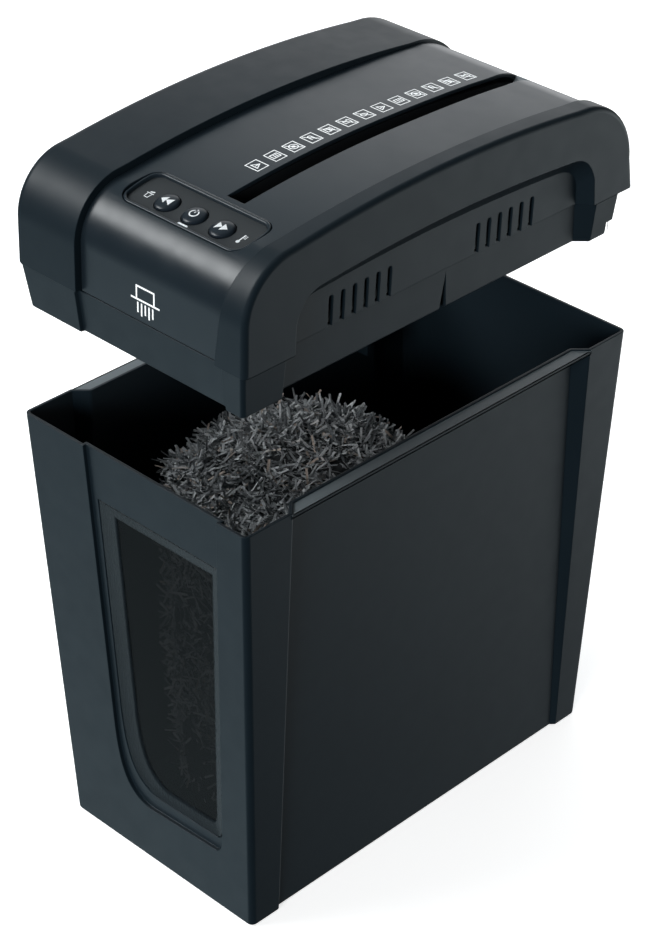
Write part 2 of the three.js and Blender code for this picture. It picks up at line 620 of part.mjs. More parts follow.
// ---------------------------------------------------------------- cutting unit
function cutterShaft(axle, offset, phase, [front, rear]) {
  const { disc, core, journal, start, pitch, width, count } = CUTTER;
  const profile = [[0, front], [journal, front], [journal, start - CUTTER_END], [core, start - CUTTER_END]];
  for (let i = 0; i < count; i += 1) {
    const y = start + offset + i * pitch;
    profile.push([core, y], [disc, y], [disc, y + width], [core, y + width]);
  }
  const end = start + count * pitch + CUTTER_END;
  profile.push([core, end], [journal, end], [journal, rear], [0, rear]);
  const geometry = turned(profile, 10);
  const position = geometry.getAttribute('position');
  for (let i = 0; i < position.count; i += 1) {
    const [x, y, z] = [position.getX(i), position.getY(i), position.getZ(i)];
    if (Math.hypot(x, z) > disc - 0.1) {
      const step = Math.round((Math.atan2(x, z) / (Math.PI * 2)) * 10) + 10;
      const row = Math.floor((y - start - offset + 0.5) / pitch);
      const hooked = (step + row + phase) % 5 === 0 ? (disc - HOOK_DROP) / disc : 1;
      position.setXYZ(i, x * hooked, y, z * hooked);
    }
  }
  return solid(geometry.translate(axle.x, 0, axle.z));
}

function gearShape(teeth, module, toothAngle, bore) {
  const pitch = (Math.PI * 2) / teeth;
  const tip = module * (teeth / 2 + 0.8);
  const root = module * (teeth / 2 - 1.15);
  const points = [];
  for (let i = 0; i < teeth; i += 1) {
    const middle = toothAngle + i * pitch;
    for (const [radius, turn] of [[root, -0.27], [tip, -0.12], [tip, 0.12], [root, 0.27]]) {
      const angle = middle + turn * pitch;
      points.push([radius * Math.cos(angle), radius * Math.sin(angle)]);
    }
  }
  const shape = outline(points);
  const hole = new THREE.Path();
  hole.absarc(0, 0, bore, 0, Math.PI * 2, true);
  shape.holes.push(new THREE.Path(hole.getPoints(5).slice(0, -1)));
  return shape;
}

function gear(axle, teeth, module, toothAngle, bore, along) {
  const [y0, y1] = along;
  const geometry = extrude(gearShape(teeth, module, toothAngle, bore), y1 - y0);
  return solid(geometry.rotateX(Math.PI / 2).translate(axle.x, y1, axle.z));
}

// tooth angle that puts a gap, not a tooth, towards `angle`
function gapAt(angle, teeth) {
  return angle + Math.PI / teeth;
}

function plateWithBores(corners, [y0, y1], bores) {
  let plate = prismY(outline(corners), [y0, y1]);
  for (const [axle, radius] of bores) {
    plate = plate.subtract(rodY(axle, radius, [y0 - 5, y1 + 5], 12));
  }
  return plate.subtract(block([SLOT.x - 10, SLOT.x + 10], [y0 - 5, y1 + 5], [15.6, REACH]));
}

const RODS = [{ x: -4.5, z: -14 }, { x: 62, z: -14 }, { x: -4.5, z: 15 }, { x: 62, z: 15 }];
const MOTOR_SCREWS = [{ x: MOTOR.x - 15, z: MOTOR.z }, { x: MOTOR.x + 15, z: MOTOR.z }];
const bushBores = [[CUTTER_A, 8.3], [CUTTER_B, 8.3]];
const rodBores = RODS.map((rod) => [rod, AXLE_BORE]);
const frontFace = [FRONT_PLATE, FRONT_PLATE + PLATE_THICK];
const rearFace = [REAR_PLATE, REAR_PLATE + PLATE_THICK];

add(head, 'cutter_shaft_a', cutterShaft(CUTTER_A, 0, 0, [-138, 133]), CUTTER_STEEL);
add(head, 'cutter_shaft_b', cutterShaft(CUTTER_B, CUTTER.pitch / 2, 2, [-112.5, 133]), CUTTER_STEEL);

const frontCorners = [[-77.2, -25], [67, -25], [67, 22], [40, 40], [-60, 40], [-77.2, 26]];
const rearCorners = [[-10, -20], [67, -20], [67, 22], [-10, 22]];
const frontBores = [...bushBores, ...rodBores, [MOTOR, 5], [SECOND_IDLER, AXLE_BORE], [FIRST_IDLER, AXLE_BORE],
  ...MOTOR_SCREWS.map((screw) => [screw, SCREW_HOLE])];
add(head, 'front_end_plate', plateWithBores(frontCorners, frontFace, frontBores), STEEL);
add(head, 'rear_end_plate', plateWithBores(rearCorners, rearFace, [...bushBores, ...rodBores]), STEEL);

for (const [name, plate] of [['front', frontFace], ['rear', rearFace]]) {
  for (const [letter, axle] of [['a', CUTTER_A], ['b', CUTTER_B]]) {
    const [y0, y1] = [plate[0] - 0.8, plate[1] + 0.8];
    const ring = [[JOURNAL_BORE, y0], [7.9, y0], [7.9, y1], [JOURNAL_BORE, y1], [JOURNAL_BORE, y0]];
    add(head, `${name}_bush_${letter}`, turnedY(axle, ring, 12), BRONZE);
  }
}
RODS.forEach((rod, i) => {
  add(head, `tie_rod_${i + 1}`, rodY(rod, PIN_RADIUS, [FRONT_PLATE - 2, REAR_PLATE + PLATE_THICK + 2], 8), STEEL);
});

// comb whose fingers lie between the discs and lift the strips off the shaft
function stripperComb(axle, side, offset) {
  const { start, pitch, width, count, disc, core } = CUTTER;
  const back = axle.x + side * (disc + 6.5);
  const front = axle.x + side * (disc + 0.7);
  const tip = axle.x + side * (core + 0.7);
  const points = [[back, start - 2], [front, start - 2]];
  for (let i = 0; i < count; i += 1) {
    const y = start + offset + i * pitch + width + 0.6;
    points.push([front, y], [tip, y], [tip, y + 3.2], [front, y + 3.2]);
  }
  const last = start + offset + count * pitch + 0.4;
  points.push([front, last], [back, last]);
  return prismZ(outline(points), [axle.z - 4, axle.z + 4]);
}

add(head, 'stripper_comb_a', stripperComb(CUTTER_A, -1, 0), BLACK_PLASTIC);
add(head, 'stripper_comb_b', stripperComb(CUTTER_B, 1, -CUTTER.pitch / 2), BLACK_PLASTIC);

// funnel from the slot down to the cutters, open at both ends
function throatGuide() {
  const { top, bottom, wideOuter, narrowOuter, wideInner, narrowInner } = THROAT;
  const funnel = (wide, narrow, margin) => outline([
    [SLOT.x - narrow / 2, bottom - margin],
    [SLOT.x + narrow / 2, bottom - margin],
    [SLOT.x + wide / 2, top + margin],
    [SLOT.x - wide / 2, top + margin],
  ]);
  const outer = prismY(funnel(wideOuter, narrowOuter, 0), [SLOT.front - 2, SLOT.rear + 2]);
  const inner = prismY(funnel(wideInner, narrowInner, 1), [SLOT.front, SLOT.rear]);
  const under = headSolid(PANEL.sunk + PANEL.thick + 0.4, [-REACH, REACH], -20);
  return outer.subtract(inner).intersect(under);
}

add(head, 'throat_guide', throatGuide(), BLACK_PLASTIC);
add(head, 'paper_sensor_emitter', block(SENSOR.emitter, SENSOR.span, SENSOR.level), BLACK_PLASTIC);
add(head, 'paper_sensor_receiver', block(SENSOR.receiver, SENSOR.span, SENSOR.level), BLACK_PLASTIC);

// ---------------------------------------------------------------- motor and gear train
const toSecond = angleTo(FIRST_IDLER, SECOND_IDLER);
const toCutter = angleTo(SECOND_IDLER, CUTTER_A);
const toFirst = angleTo(MOTOR, FIRST_IDLER);

function motorCan() {
  const { radius, wall, front, bore } = MOTOR_BODY;
  const profile = [[bore, front], [radius, front], [radius, MOTOR_REAR], [bore, MOTOR_REAR], [bore, MOTOR_REAR - wall],
    [radius - wall, MOTOR_REAR - wall], [radius - wall, front + wall], [bore, front + wall], [bore, front]];
  let can = turnedY(MOTOR, profile, 18);
  for (const screw of MOTOR_SCREWS) {
    can = can.subtract(rodY(screw, SCREW_HOLE, [front - 1, front + wall + 1], 8));
  }
  return can;
}

function motorRotor() {
  const { front } = MOTOR_BODY;
  const profile = [[0, -113], [2, -113], [2, front + 5], [5, front + 5], [5, front + 10], [16.5, front + 10],
    [16.5, front + 46], [7, front + 47], [7, front + 57], [2, front + 57], [2, MOTOR_REAR + 9],
    [0, MOTOR_REAR + 9]];
  return turnedY(MOTOR, profile, 12);
}

function magnet(fromDegrees, toDegrees) {
  const shape = new THREE.Shape();
  const [from, to] = [fromDegrees, toDegrees].map(THREE.MathUtils.degToRad);
  shape.absarc(0, 0, MAGNET_RING.outer, from, to, false);
  shape.absarc(0, 0, MAGNET_RING.inner, to, from, true);
  const points = shape.getPoints(5).map((p) => [p.x + MOTOR.x, p.y + MOTOR.z]);
  return prismY(outline(points), [MOTOR_BODY.front + 9, MOTOR_BODY.front + 47]);
}

function coolingFan() {
  const y0 = MOTOR_REAR + FAN.gap;
  let fan = rodY(MOTOR, FAN.hub, [y0, y0 + FAN.width], 10);
  for (let i = 0; i < FAN.blades; i += 1) {
    const blade = new THREE.BoxGeometry(14, 4.2, 1.4);
    const turn = (i * Math.PI * 2) / FAN.blades;
    blade.rotateX(0.5).translate(10.5, y0 + FAN.width / 2, 0).rotateY(turn).translate(MOTOR.x, 0, MOTOR.z);
    fan = fan.add(solid(blade));
  }
  return fan.subtract(rodY(MOTOR, ROTOR_BORE, [y0 - 1, y0 + FAN.width + 1], 10));
}

add(head, 'motor_can', motorCan(), STEEL);
add(head, 'motor_magnet_1', magnet(20, 160), MAGNET);
add(head, 'motor_magnet_2', magnet(200, 340), MAGNET);
add(head, 'motor_rotor', motorRotor(), COPPER_WOUND);
add(head, 'motor_fan', coolingFan(), BLACK_PLASTIC);
MOTOR_SCREWS.forEach((screw, i) => {
  const profile = [[0, FRONT_PLATE - 2.2], [3.2, FRONT_PLATE - 2.2], [3.2, FRONT_PLATE - GAP],
    [1.5, FRONT_PLATE - GAP], [1.5, FRONT_PLATE + 6.5], [0, FRONT_PLATE + 6.5]];
  add(head, `motor_screw_${i + 1}`, turnedY(screw, profile, 8), STEEL);
});

// two gears cut on one hub; `driven` meets the gear before and `driver` the gear after
function idler(axle, before, fromAngle, beforePlane, after, toAngle, afterPlane) {
  const bore = AXLE_BORE;
  const wide = gear(axle, before.driven, before.module, gapAt(fromAngle + Math.PI, before.driven), bore, beforePlane);
  const small = gear(axle, after.driver, after.module, toAngle, bore, afterPlane);
  const ends = [...beforePlane, ...afterPlane];
  const hubSpan = [Math.min(...ends), Math.max(...ends)];
  const hub = rodY(axle, 4.3, hubSpan, 12).subtract(rodY(axle, bore, [hubSpan[0] - 1, hubSpan[1] + 1], 12));
  return wide.add(small).add(hub);
}

const firstIdler = idler(FIRST_IDLER, STAGE_1, toFirst, PLANE_1, STAGE_2, toSecond, PLANE_3);
const secondIdler = idler(SECOND_IDLER, STAGE_2, toSecond, PLANE_3, STAGE_3, toCutter, PLANE_2);
const finalAngle = gapAt(toCutter + Math.PI, STAGE_3.driven);
add(head, 'motor_pinion', gear(MOTOR, STAGE_1.driver, STAGE_1.module, toFirst, ROTOR_BORE, PLANE_1), STEEL);
add(head, 'first_idler_gear', firstIdler, NYLON);
add(head, 'second_idler_gear', secondIdler, NYLON);
const finalGear = gear(CUTTER_A, STAGE_3.driven, STAGE_3.module, finalAngle, JOURNAL_BORE, PLANE_2);
const syncGap = gapAt(Math.PI, SYNC.teeth);
add(head, 'final_gear', finalGear, NYLON);
add(head, 'sync_gear_a', gear(CUTTER_A, SYNC.teeth, SYNC.module, 0, JOURNAL_BORE, PLANE_1), STEEL);
add(head, 'sync_gear_b', gear(CUTTER_B, SYNC.teeth, SYNC.module, syncGap, JOURNAL_BORE, PLANE_1), STEEL);

const pinSpan = [GEARBOX_COVER[0] - 1, FRONT_PLATE + PLATE_THICK];
add(head, 'first_idler_pin', rodY(FIRST_IDLER, PIN_RADIUS, [pinSpan[0], pinSpan[1] - 0.2], 10), STEEL);
add(head, 'second_idler_pin', rodY(SECOND_IDLER, PIN_RADIUS, pinSpan, 10), STEEL);

function gearboxCover() {
  const corners = [[-64, -24], [40, -24], [40, 24], [12, 40], [-50, 42], [-64, 30]];
  let cover = prismY(outline(corners), GEARBOX_COVER);
  for (const [axle, radius] of [[CUTTER_A, JOURNAL_BORE], [FIRST_IDLER, AXLE_BORE], [SECOND_IDLER, AXLE_BORE]]) {
    cover = cover.subtract(rodY(axle, radius, [-REACH, REACH], 12));
  }
  return cover;
}

add(head, 'gearbox_cover', gearboxCover(), BLACK_PLASTIC);

// ---------------------------------------------------------------- electrics
add(head, 'motor_capacitor', block(CAPACITOR.x, CAPACITOR.y, CAPACITOR.z), BLACK_PLASTIC);

const plungerProfile = [[0, -32.6], [1.2, -32.6], [2, -31.6], [2, -26], [3.4, -26], [3.4, -24.8], [1.2, -24.8],
  [1.2, -20], [0, -20]];
add(head, 'interlock_plunger', turnedZ(PLUNGER, plungerProfile, 10), BLACK_PLASTIC);
add(head, 'interlock_switch', block(INTERLOCK_SWITCH.x, INTERLOCK_SWITCH.y, INTERLOCK_SWITCH.z), BLACK_PLASTIC);

export default shredder;
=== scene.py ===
"""Looks of a slim paper shredder: a cutting head held up over its tapered waste bin."""

import json
import math
import random

import bmesh
import bpy
from mathutils import Matrix, Vector, noise


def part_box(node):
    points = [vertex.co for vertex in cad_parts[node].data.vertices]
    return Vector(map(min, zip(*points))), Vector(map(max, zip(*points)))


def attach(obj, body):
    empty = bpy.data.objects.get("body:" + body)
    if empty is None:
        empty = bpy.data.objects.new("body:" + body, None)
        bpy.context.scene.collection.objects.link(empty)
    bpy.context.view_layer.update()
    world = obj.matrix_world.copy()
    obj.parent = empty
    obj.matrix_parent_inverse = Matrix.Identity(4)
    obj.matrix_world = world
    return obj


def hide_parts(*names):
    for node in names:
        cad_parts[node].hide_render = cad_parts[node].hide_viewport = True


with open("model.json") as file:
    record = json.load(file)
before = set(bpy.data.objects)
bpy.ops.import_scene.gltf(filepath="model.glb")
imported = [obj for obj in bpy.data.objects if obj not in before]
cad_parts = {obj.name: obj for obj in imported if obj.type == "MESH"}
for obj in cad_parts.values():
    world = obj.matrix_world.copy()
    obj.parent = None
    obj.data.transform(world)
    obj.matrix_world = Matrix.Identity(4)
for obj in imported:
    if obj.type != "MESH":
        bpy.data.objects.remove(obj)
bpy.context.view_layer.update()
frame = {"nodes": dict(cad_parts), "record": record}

bl_info = {
    "name": "Paper shredder",
    "version": (1, 0, 0),
    "blender": (4, 5, 0),
    "location": "3D View > Sidebar > Shredder",
    "description": "Builds the shells, window, shreds, controls and finishes of a paper shredder",
    "category": "Add Mesh",
}

# ---------------------------------------------------------------- driving dimensions, in millimetres
MM = 0.001
REACH = 400.0  # longer than the whole object, for cutting right through


def box_mm(node):
    low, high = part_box(node)
    return low / MM, high / MM


SEAM = box_mm("upper_shell")[0].z
BIN_HEIGHT = box_mm("bin_body")[1].z
BIN_HALF_LENGTH = box_mm("bin_body")[1].y
HALF_WIDTH = box_mm("upper_shell")[1].x

AT_BIN = Matrix.Identity(4)
AT_HEAD = Matrix.Translation((0, 0, SEAM))

# plan of the bin at its rim and at its base
BIN_TOP = {"half": HALF_WIDTH, "recess": 85.4, "front": -BIN_HALF_LENGTH, "rear": BIN_HALF_LENGTH,
           "step_front": -124.6, "step_rear": 126.4}
BIN_BASE = {"half": 80.8, "recess": 78.1, "front": -149.4, "rear": 149.4,
            "step_front": -126.9, "step_rear": 129.3}
BIN_WALL = 2.2
BIN_FLOOR = 2.5
PILLAR_CORNER = 4.0
STEP_CORNER = 1.0
FRONT_LEAN = (BIN_BASE["front"] - BIN_TOP["front"]) / BIN_HEIGHT
FLOOR_FILLET = 3.0
FLANGE = {"inner": 83.4, "thick": 2.2, "drop": 1.0}
PLUNGER_RIB = {"x": (-83.5, -66.0), "y": (98.0, 102.0), "z": (236.0, 261.5)}
FRONT_PANEL_DEPTH = 2.5
FRONT_FACE = BIN_BASE["front"] + FRONT_PANEL_DEPTH

# side outline of the head, seen along X and measured from the seam
NOSE = {"y": -121.5, "h": 26.9, "radius": 37.0}
CROWN = {"y": -4.0, "h": -818.3, "radius": 890.0}
TAIL = {"y": 109.3, "h": 19.5, "radius": 45.0}
NOSE_FOOT = -159.3
TAIL_FOOT = 157.1
NOSE_JOIN = 97.9
TAIL_JOIN = 82.3
SHELL_WALL = 2.4

PANEL = {"left": -41.0, "right": 70.0, "flare": 0.14, "rear": 134.0, "sunk": 4.2, "thick": 2.4, "ledge": 5.0,
         "rise": 2.6, "rise_from": 20.0}
SLOT = {"x": 28.7, "width": 13.0, "front": -102.3, "rear": 130.0}
# the slanted rear wall of the slot: places along Y, then depths below the panel's surface
SLOT_END = {"half": 6.1, "foot": 121.0, "wall": 129.6, "back": 130.6, "top": 0.5, "step": 2.2, "drop": 9.5}

# the arch over the side vents, from the outside inwards
ARCH = {"band": 3.4, "depth": 9.0}
ARCH_OUTER = {"foot": 122.4, "shoulder": 120.5, "corner": 116.0, "height": 40.0}
ARCH_MIDDLE = {"foot": 120.6, "shoulder": 119.0, "corner": 115.0, "height": 37.4}
ARCH_INNER = {"foot": 116.0, "shoulder": 115.2, "corner": 112.0, "height": 29.8}
ARCH_LEDGE = {"x": (82.0, 100.0), "y": (-125.0, 125.0), "h": (-30.0, 42.6)}
VENTS = {"starts": (-86.0, 30.9), "pitch": 9.1, "count": 6, "width": 3.0, "height": 19.0, "rake": 1.4,
         "x": (80.0, 86.5)}
BAFFLE = {"wall": (79.4, 80.2), "roof": (79.4, 82.6), "low": 0.4, "under_roof": 23.2, "high": 24.0, "beyond": 4.0}
REAR_VENTS = {"x": SLOT["x"] - 13, "count": 9, "pitch": 10.0, "width": 5.0, "low": 50.4, "high": 52.0,
              "y": (135.4, 170.0)}

LOWER_DEPTH = 28.8
LOWER_WALL = 2.2
LOWER_CHAMFER = 1.4
SEAM_GAP = 0.35
LOWER_TOP = {"pillar": 90.7, "recess": 81.5, "front": -157.8, "centre": -155.3, "rear": 148.7}
LOWER_BASE = {"pillar": 87.0, "recess": 79.9, "front": -154.8, "centre": -152.3, "rear": 147.0}
LOWER_STEPS = {"left": -43.9, "right": 74.0, "ramp": 0.5, "front": -125.8, "rear": 127.6}
OUTLET = {"x": (-3.0, 60.4), "y": (-97.0, 124.0)}
BELOW = -40.0  # under the lower shell, for cutting up into it
REAR_STEP = {"half": 84.0, "wall": (138.8, 141.0), "roof": (138.8, 147.6), "beyond": 163.0, "high": -20.0,
             "roof_thick": 2.2, "wall_top": -18.0}
GLAND = {"x": -60.0, "h": -12.0, "hole": 6.4, "y": (144.0, 160.0)}
NOTCH = {"front": 5.0, "tip": 8.2, "rear": 10.0, "foot": 1.0, "top": -6.7, "x": (76.0, 84.0)}
SEAT_SCREWS = [(-79.0, -143.0), (79.0, -143.0), (-79.0, 133.0), (79.0, 133.0)]
SCREW_WELL = {"radius": 4.2, "top": -24.5}
PLUNGER = {"x": -70.0, "y": 100.0, "hole": 2.4, "top": -20.0}

TILT = math.radians(10.8)
AT_CONTROLS = Matrix.Translation((18.6, -122.0, SEAM + 58.65)) @ Matrix.Rotation(TILT, 4, "X")
INLAY = {"half_length": 45.8, "half_width": 15.3, "bulge": 1.8, "corner": 7.0, "plate": -1.6, "bottom": -3.4}
INLAY_CUT = (-9.0, 9.0)  # heights that cut right through the inlay and what it sits in
BUTTON = {"hole": 7.75, "pitch": 21.6, "x": 1.2, "y": -2.6}
BUTTON_NAMES = ("rewind", "power", "forward")
PIPE_HOLE = {"half": 3.8, "y": (-12.75, -10.85)}


# ---------------------------------------------------------------- outlines
def mixed(start, end, share):
    return {key: start[key] + (end[key] - start[key]) * share for key in start}


def arc_points(part, start, end, steps, inset=0.0):
    """Points along an arc as (y, h), its radius made smaller by the inset."""
    radius = part["radius"] - inset
    points = []
    for i in range(steps + 1):
        angle = math.radians(start + (end - start) * i / steps)
        points.append((part["y"] + radius * math.cos(angle), part["h"] + radius * math.sin(angle)))
    return points


def filleted(corners, radii, steps=4):
    """A closed outline with its corners rounded; a radius of 0 keeps the corner."""
    points = []
    count = len(corners)
    for i, (corner, radius) in enumerate(zip(corners, radii)):
        here = Vector(corner)
        if radius == 0:
            points.append(tuple(here))
            continue
        to_before = (Vector(corners[i - 1]) - here).normalized()
        to_after = (Vector(corners[(i + 1) % count]) - here).normalized()
        half = to_before.angle(to_after) / 2
        centre = here + (to_before + to_after).normalized() * (radius / math.sin(half))
        start = here + to_before * (radius / math.tan(half)) - centre
        end = here + to_after * (radius / math.tan(half)) - centre
        for k in range(steps + 1):
            spoke = start.lerp(end, k / steps).normalized() * radius
            points.append(tuple(centre + spoke))
    return points


def inset_loop(points, distance):
    """The outline moved inwards; points run anticlockwise."""
    moved = []
    count = len(points)
    for i, point in enumerate(points):
        here = Vector(point)
        before = (here - Vector(points[i - 1])).normalized()
        after = (Vector(points[(i + 1) % count]) - here).normalized()
        turn = max(1 + before.dot(after), 0.2)
        moved.append((here.x - distance * (before.y + after.y) / turn,
                      here.y + distance * (before.x + after.x) / turn))
    return moved


def rounded_plan(corners, radii, inset=0.0, smallest=0.4):
    """A plan moved inwards and then rounded, so that its rounded corners stay concentric."""
    adjusted = []
    count = len(corners)
    for i, radius in enumerate(radii):
        here = Vector(corners[i])
        before = here - Vector(corners[i - 1])
        after = Vector(corners[(i + 1) % count]) - here
        outward = before.x * after.y - before.y * after.x > 0
        moved = radius - inset if outward else radius + inset
        adjusted.append(max(moved, smallest) if radius else 0.0)
    return filleted(inset_loop(corners, inset), adjusted)


def bezier(start, first, second, end, steps):
    points = []
    for i in range(1, steps + 1):
        t = i / steps
        s = 1 - t
        weights = (s * s * s, 3 * s * s * t, 3 * s * t * t, t * t * t)
        points.append(tuple(sum(w * p[axis] for w, p in zip(weights, (start, first, second, end)))
                            for axis in (0, 1)))
    return points


def tongue(top_left, side, curve_1, curve_2, foot_left, foot_right, side_right, top_right):
    """Outline in (x, z) of the bin's front panel or window, with one large and one small lower corner."""
    left = bezier(side, curve_1, curve_2, foot_left, 16)
    leaving = (foot_right[0] + 3, foot_right[1] + 0.6)
    arriving = (side_right[0] - 1, side_right[1] - 4)
    right = bezier(foot_right, leaving, arriving, side_right, 5)
    return [top_left, side] + left + [foot_right] + right + [top_right]


def front_panel_outline():
    top = BIN_HEIGHT + 5
    return tongue((-41, top), (-34.6, 95), (-33, 62), (-28, 45), (-8, 42), (52, 45), (58, 54), (70, top))


def window_outline():
    return tongue((-34.5, 260), (-30.4, 108), (-29, 74), (-23, 55.5), (-3, 52), (51, 53.5), (56.5, 60),
                  (66.5, 260.4))


def pane_outline():
    return tongue((-21.5, 251.5), (-17.6, 112), (-16.2, 82), (-11, 65), (6, 61), (46.5, 62.5), (49.5, 68),
                  (58.8, 251.8))


def bin_plan(size, inset=0.0):
    """Plan of the bin: four corner pillars with a recessed panel on each long side."""
    inward = size["half"] - size["recess"]
    side = [
        (size["half"], size["front"]),
        (size["half"], size["step_front"]),
        (size["recess"], size["step_front"] + inward),
        (size["recess"], size["step_rear"] - inward),
        (size["half"], size["step_rear"]),
        (size["half"], size["rear"]),
    ]
    radii = [PILLAR_CORNER, STEP_CORNER, STEP_CORNER, STEP_CORNER, STEP_CORNER, PILLAR_CORNER]
    mirrored = [(-x, y) for x, y in reversed(side)]
    return rounded_plan(side + mirrored, radii + radii[::-1], inset)


def lower_plan(size, inset=0.0):
    """Plan of the head's lower shell, which follows the inside of the bin's rim."""
    inward = size["pillar"] - size["recess"]
    steps = LOWER_STEPS
    front = [
        (steps["left"], size["front"]),
        (steps["left"] + steps["ramp"], size["centre"]),
        (steps["right"] - steps["ramp"], size["centre"]),
        (steps["right"], size["front"]),
    ]
    side = [
        (size["pillar"], size["front"]),
        (size["pillar"], steps["front"]),
        (size["recess"], steps["front"] + inward),
        (size["recess"], steps["rear"] - inward),
        (size["pillar"], steps["rear"]),
        (size["pillar"], size["rear"]),
    ]
    radii = [2.6, 0.8, 1.0, 1.0, 0.8, 2.2]
    mirrored = [(-x, y) for x, y in reversed(side)]
    return rounded_plan(front + side + mirrored, [0.0] * 4 + radii + radii[::-1], inset)


def rear_rise(y):
    """How much nearer to the full outline the centre panel comes towards its rear."""
    start = PANEL["rise_from"]
    share = min(max((y - start) / (PANEL["rear"] - start), 0.0), 1.0)
    return PANEL["rise"] * share * share * (3 - 2 * share)


def head_outline(inset, bottom=0.0, rising=False):
    """Side outline of the head as (y, h), moved inwards by the inset."""
    top = arc_points(NOSE, 180, NOSE_JOIN, 16, inset)
    top += arc_points(CROWN, NOSE_JOIN, TAIL_JOIN, 26, inset)[1:-1]
    top += arc_points(TAIL, TAIL_JOIN, 0, 14, inset)
    if rising:
        top = [(y, h + rear_rise(y)) for y, h in top]
    return [(TAIL_FOOT - inset, bottom), (NOSE_FOOT + inset, bottom)] + top


def crown_height(y, inset):
    """Height above the seam of the head's upper surface at y."""
    part = CROWN
    if y < NOSE["y"] + NOSE["radius"] * math.cos(math.radians(NOSE_JOIN)):
        part = NOSE
    if y > TAIL["y"] + TAIL["radius"] * math.cos(math.radians(TAIL_JOIN)):
        part = TAIL
    radius = part["radius"] - inset
    return part["h"] + math.sqrt(max(radius ** 2 - (y - part["y"]) ** 2, 0))


def arch_outline(foot, shoulder, corner, height):
    """Outline in (y, h) of the low arch over the vents: steep ends, rounded corners and a bowed top."""
    below = -10.0
    end = (shoulder, height * 0.45)
    top = (corner - 14, height * 0.875)
    round_1 = (corner + 1, height * 0.71)
    round_2 = (corner - 4.6, height * 0.85)
    bow = (30, height * 1.04)

    def front(point):
        return (-point[0], point[1])

    points = [(-foot, below), front(end)]
    points += bezier(front(end), front(round_1), front(round_2), front(top), 8)
    points += bezier(front(top), front(bow), bow, top, 18)
    points += bezier(top, round_2, round_1, end, 8)
    points.append((foot, below))
    return points


# ---------------------------------------------------------------- meshes
def piece(name, verts, faces, place=AT_BIN):
    """A mesh object from points in millimetres."""
    mesh = bpy.data.meshes.new(name)
    mesh.from_pydata([tuple((place @ Vector(v)) * MM) for v in verts], [], faces)
    shape = bmesh.new()
    shape.from_mesh(mesh)
    bmesh.ops.remove_doubles(shape, verts=shape.verts, dist=1e-6)
    bmesh.ops.recalc_face_normals(shape, faces=shape.faces)
    shape.to_mesh(mesh)
    shape.free()
    made = bpy.data.objects.new(name, mesh)
    bpy.context.scene.collection.objects.link(made)
    return made


def loft(name, rings, place=AT_BIN, tube=False):
    """A closed skin through rings with the same number of points; a tube's last ring meets its first."""
    count = len(rings[0])
    verts = [point for ring in rings for point in ring]
    faces = []
    for k in range(len(rings) if tube else len(rings) - 1):
        low = k * count
        high = ((k + 1) % len(rings)) * count
        for i in range(count):
            j = (i + 1) % count
            faces.append((low + i, low + j, high + j, high + i))
    if not tube:
        last = (len(rings) - 1) * count
        faces.append(tuple(reversed(range(count))))
        faces.append(tuple(range(last, last + count)))
    return piece(name, verts, faces, place)


def prism_x(name, outline, x0, x1, place=AT_HEAD):
    return loft(name, [[(x, y, h) for y, h in outline] for x in (x0, x1)], place)


def prism_y(name, outline, y0, y1, place=AT_BIN, lean=0.0):
    return loft(name, [[(x, y - lean * z, z) for x, z in outline] for y in (y0, y1)], place)


def prism_z(name, outline, z0, z1, place=AT_BIN):
    return loft(name, [[(x, y, z) for x, y in outline] for z in (z0, z1)], place)


def block(name, xs, ys, zs, place=AT_BIN):
    return prism_z(name, [(xs[0], ys[0]), (xs[1], ys[0]), (xs[1], ys[1]), (xs[0], ys[1])], zs[0], zs[1], place)


def circle(centre, radius, sides):
    angles = [2 * math.pi * i / sides for i in range(sides)]
    return [(centre[0] + radius * math.cos(a), centre[1] + radius * math.sin(a)) for a in angles]


def turned(name, profile, centre, sides=48, place=AT_BIN):
    """A body turned about a vertical axis from (radius, height) points."""
    return loft(name, [[(x, y, height) for x, y in circle(centre, radius, sides)] for radius, height in profile],
                place)


def turned_y(name, profile, axis, sides=32):
    """A body on the head turned about an axis along Y at (x, h) from (radius, y) points."""
    return loft(name, [[(x, y, h) for x, h in circle(axis, radius, sides)] for radius, y in profile], AT_HEAD)


def settle_mesh(obj):
    """Turn the object's modifiers into its mesh."""
    bpy.context.view_layer.update()
    depsgraph = bpy.context.evaluated_depsgraph_get()
    mesh = bpy.data.meshes.new_from_object(obj.evaluated_get(depsgraph))
    old = obj.data
    obj.modifiers.clear()
    obj.data = mesh
    bpy.data.meshes.remove(old)


def combine(target, other, operation):
    boolean = target.modifiers.new("Combine", "BOOLEAN")
    boolean.operation = operation
    boolean.solver = "EXACT"
    boolean.object = other
    settle_mesh(target)
    bpy.data.objects.remove(other)
    if not target.data.polygons:
        raise RuntimeError(f"{target.name} came out empty")
    return target


def cut(target, *cutters):
    for cutter in cutters:
        combine(target, cutter, "DIFFERENCE")
    return target


def add(target, *others):
    for other in others:
        combine(target, other, "UNION")
    return target


def keep_inside(target, other):
    return combine(target, other, "INTERSECT")


def merged(name, objects):
    """Several separate meshes as one object."""
    shape = bmesh.new()
    for obj in objects:
        shape.from_mesh(obj.data)
        bpy.data.objects.remove(obj)
    mesh = bpy.data.meshes.new(name)
    shape.to_mesh(mesh)
    shape.free()
    made = bpy.data.objects.new(name, mesh)
    bpy.context.scene.collection.objects.link(made)
    return made


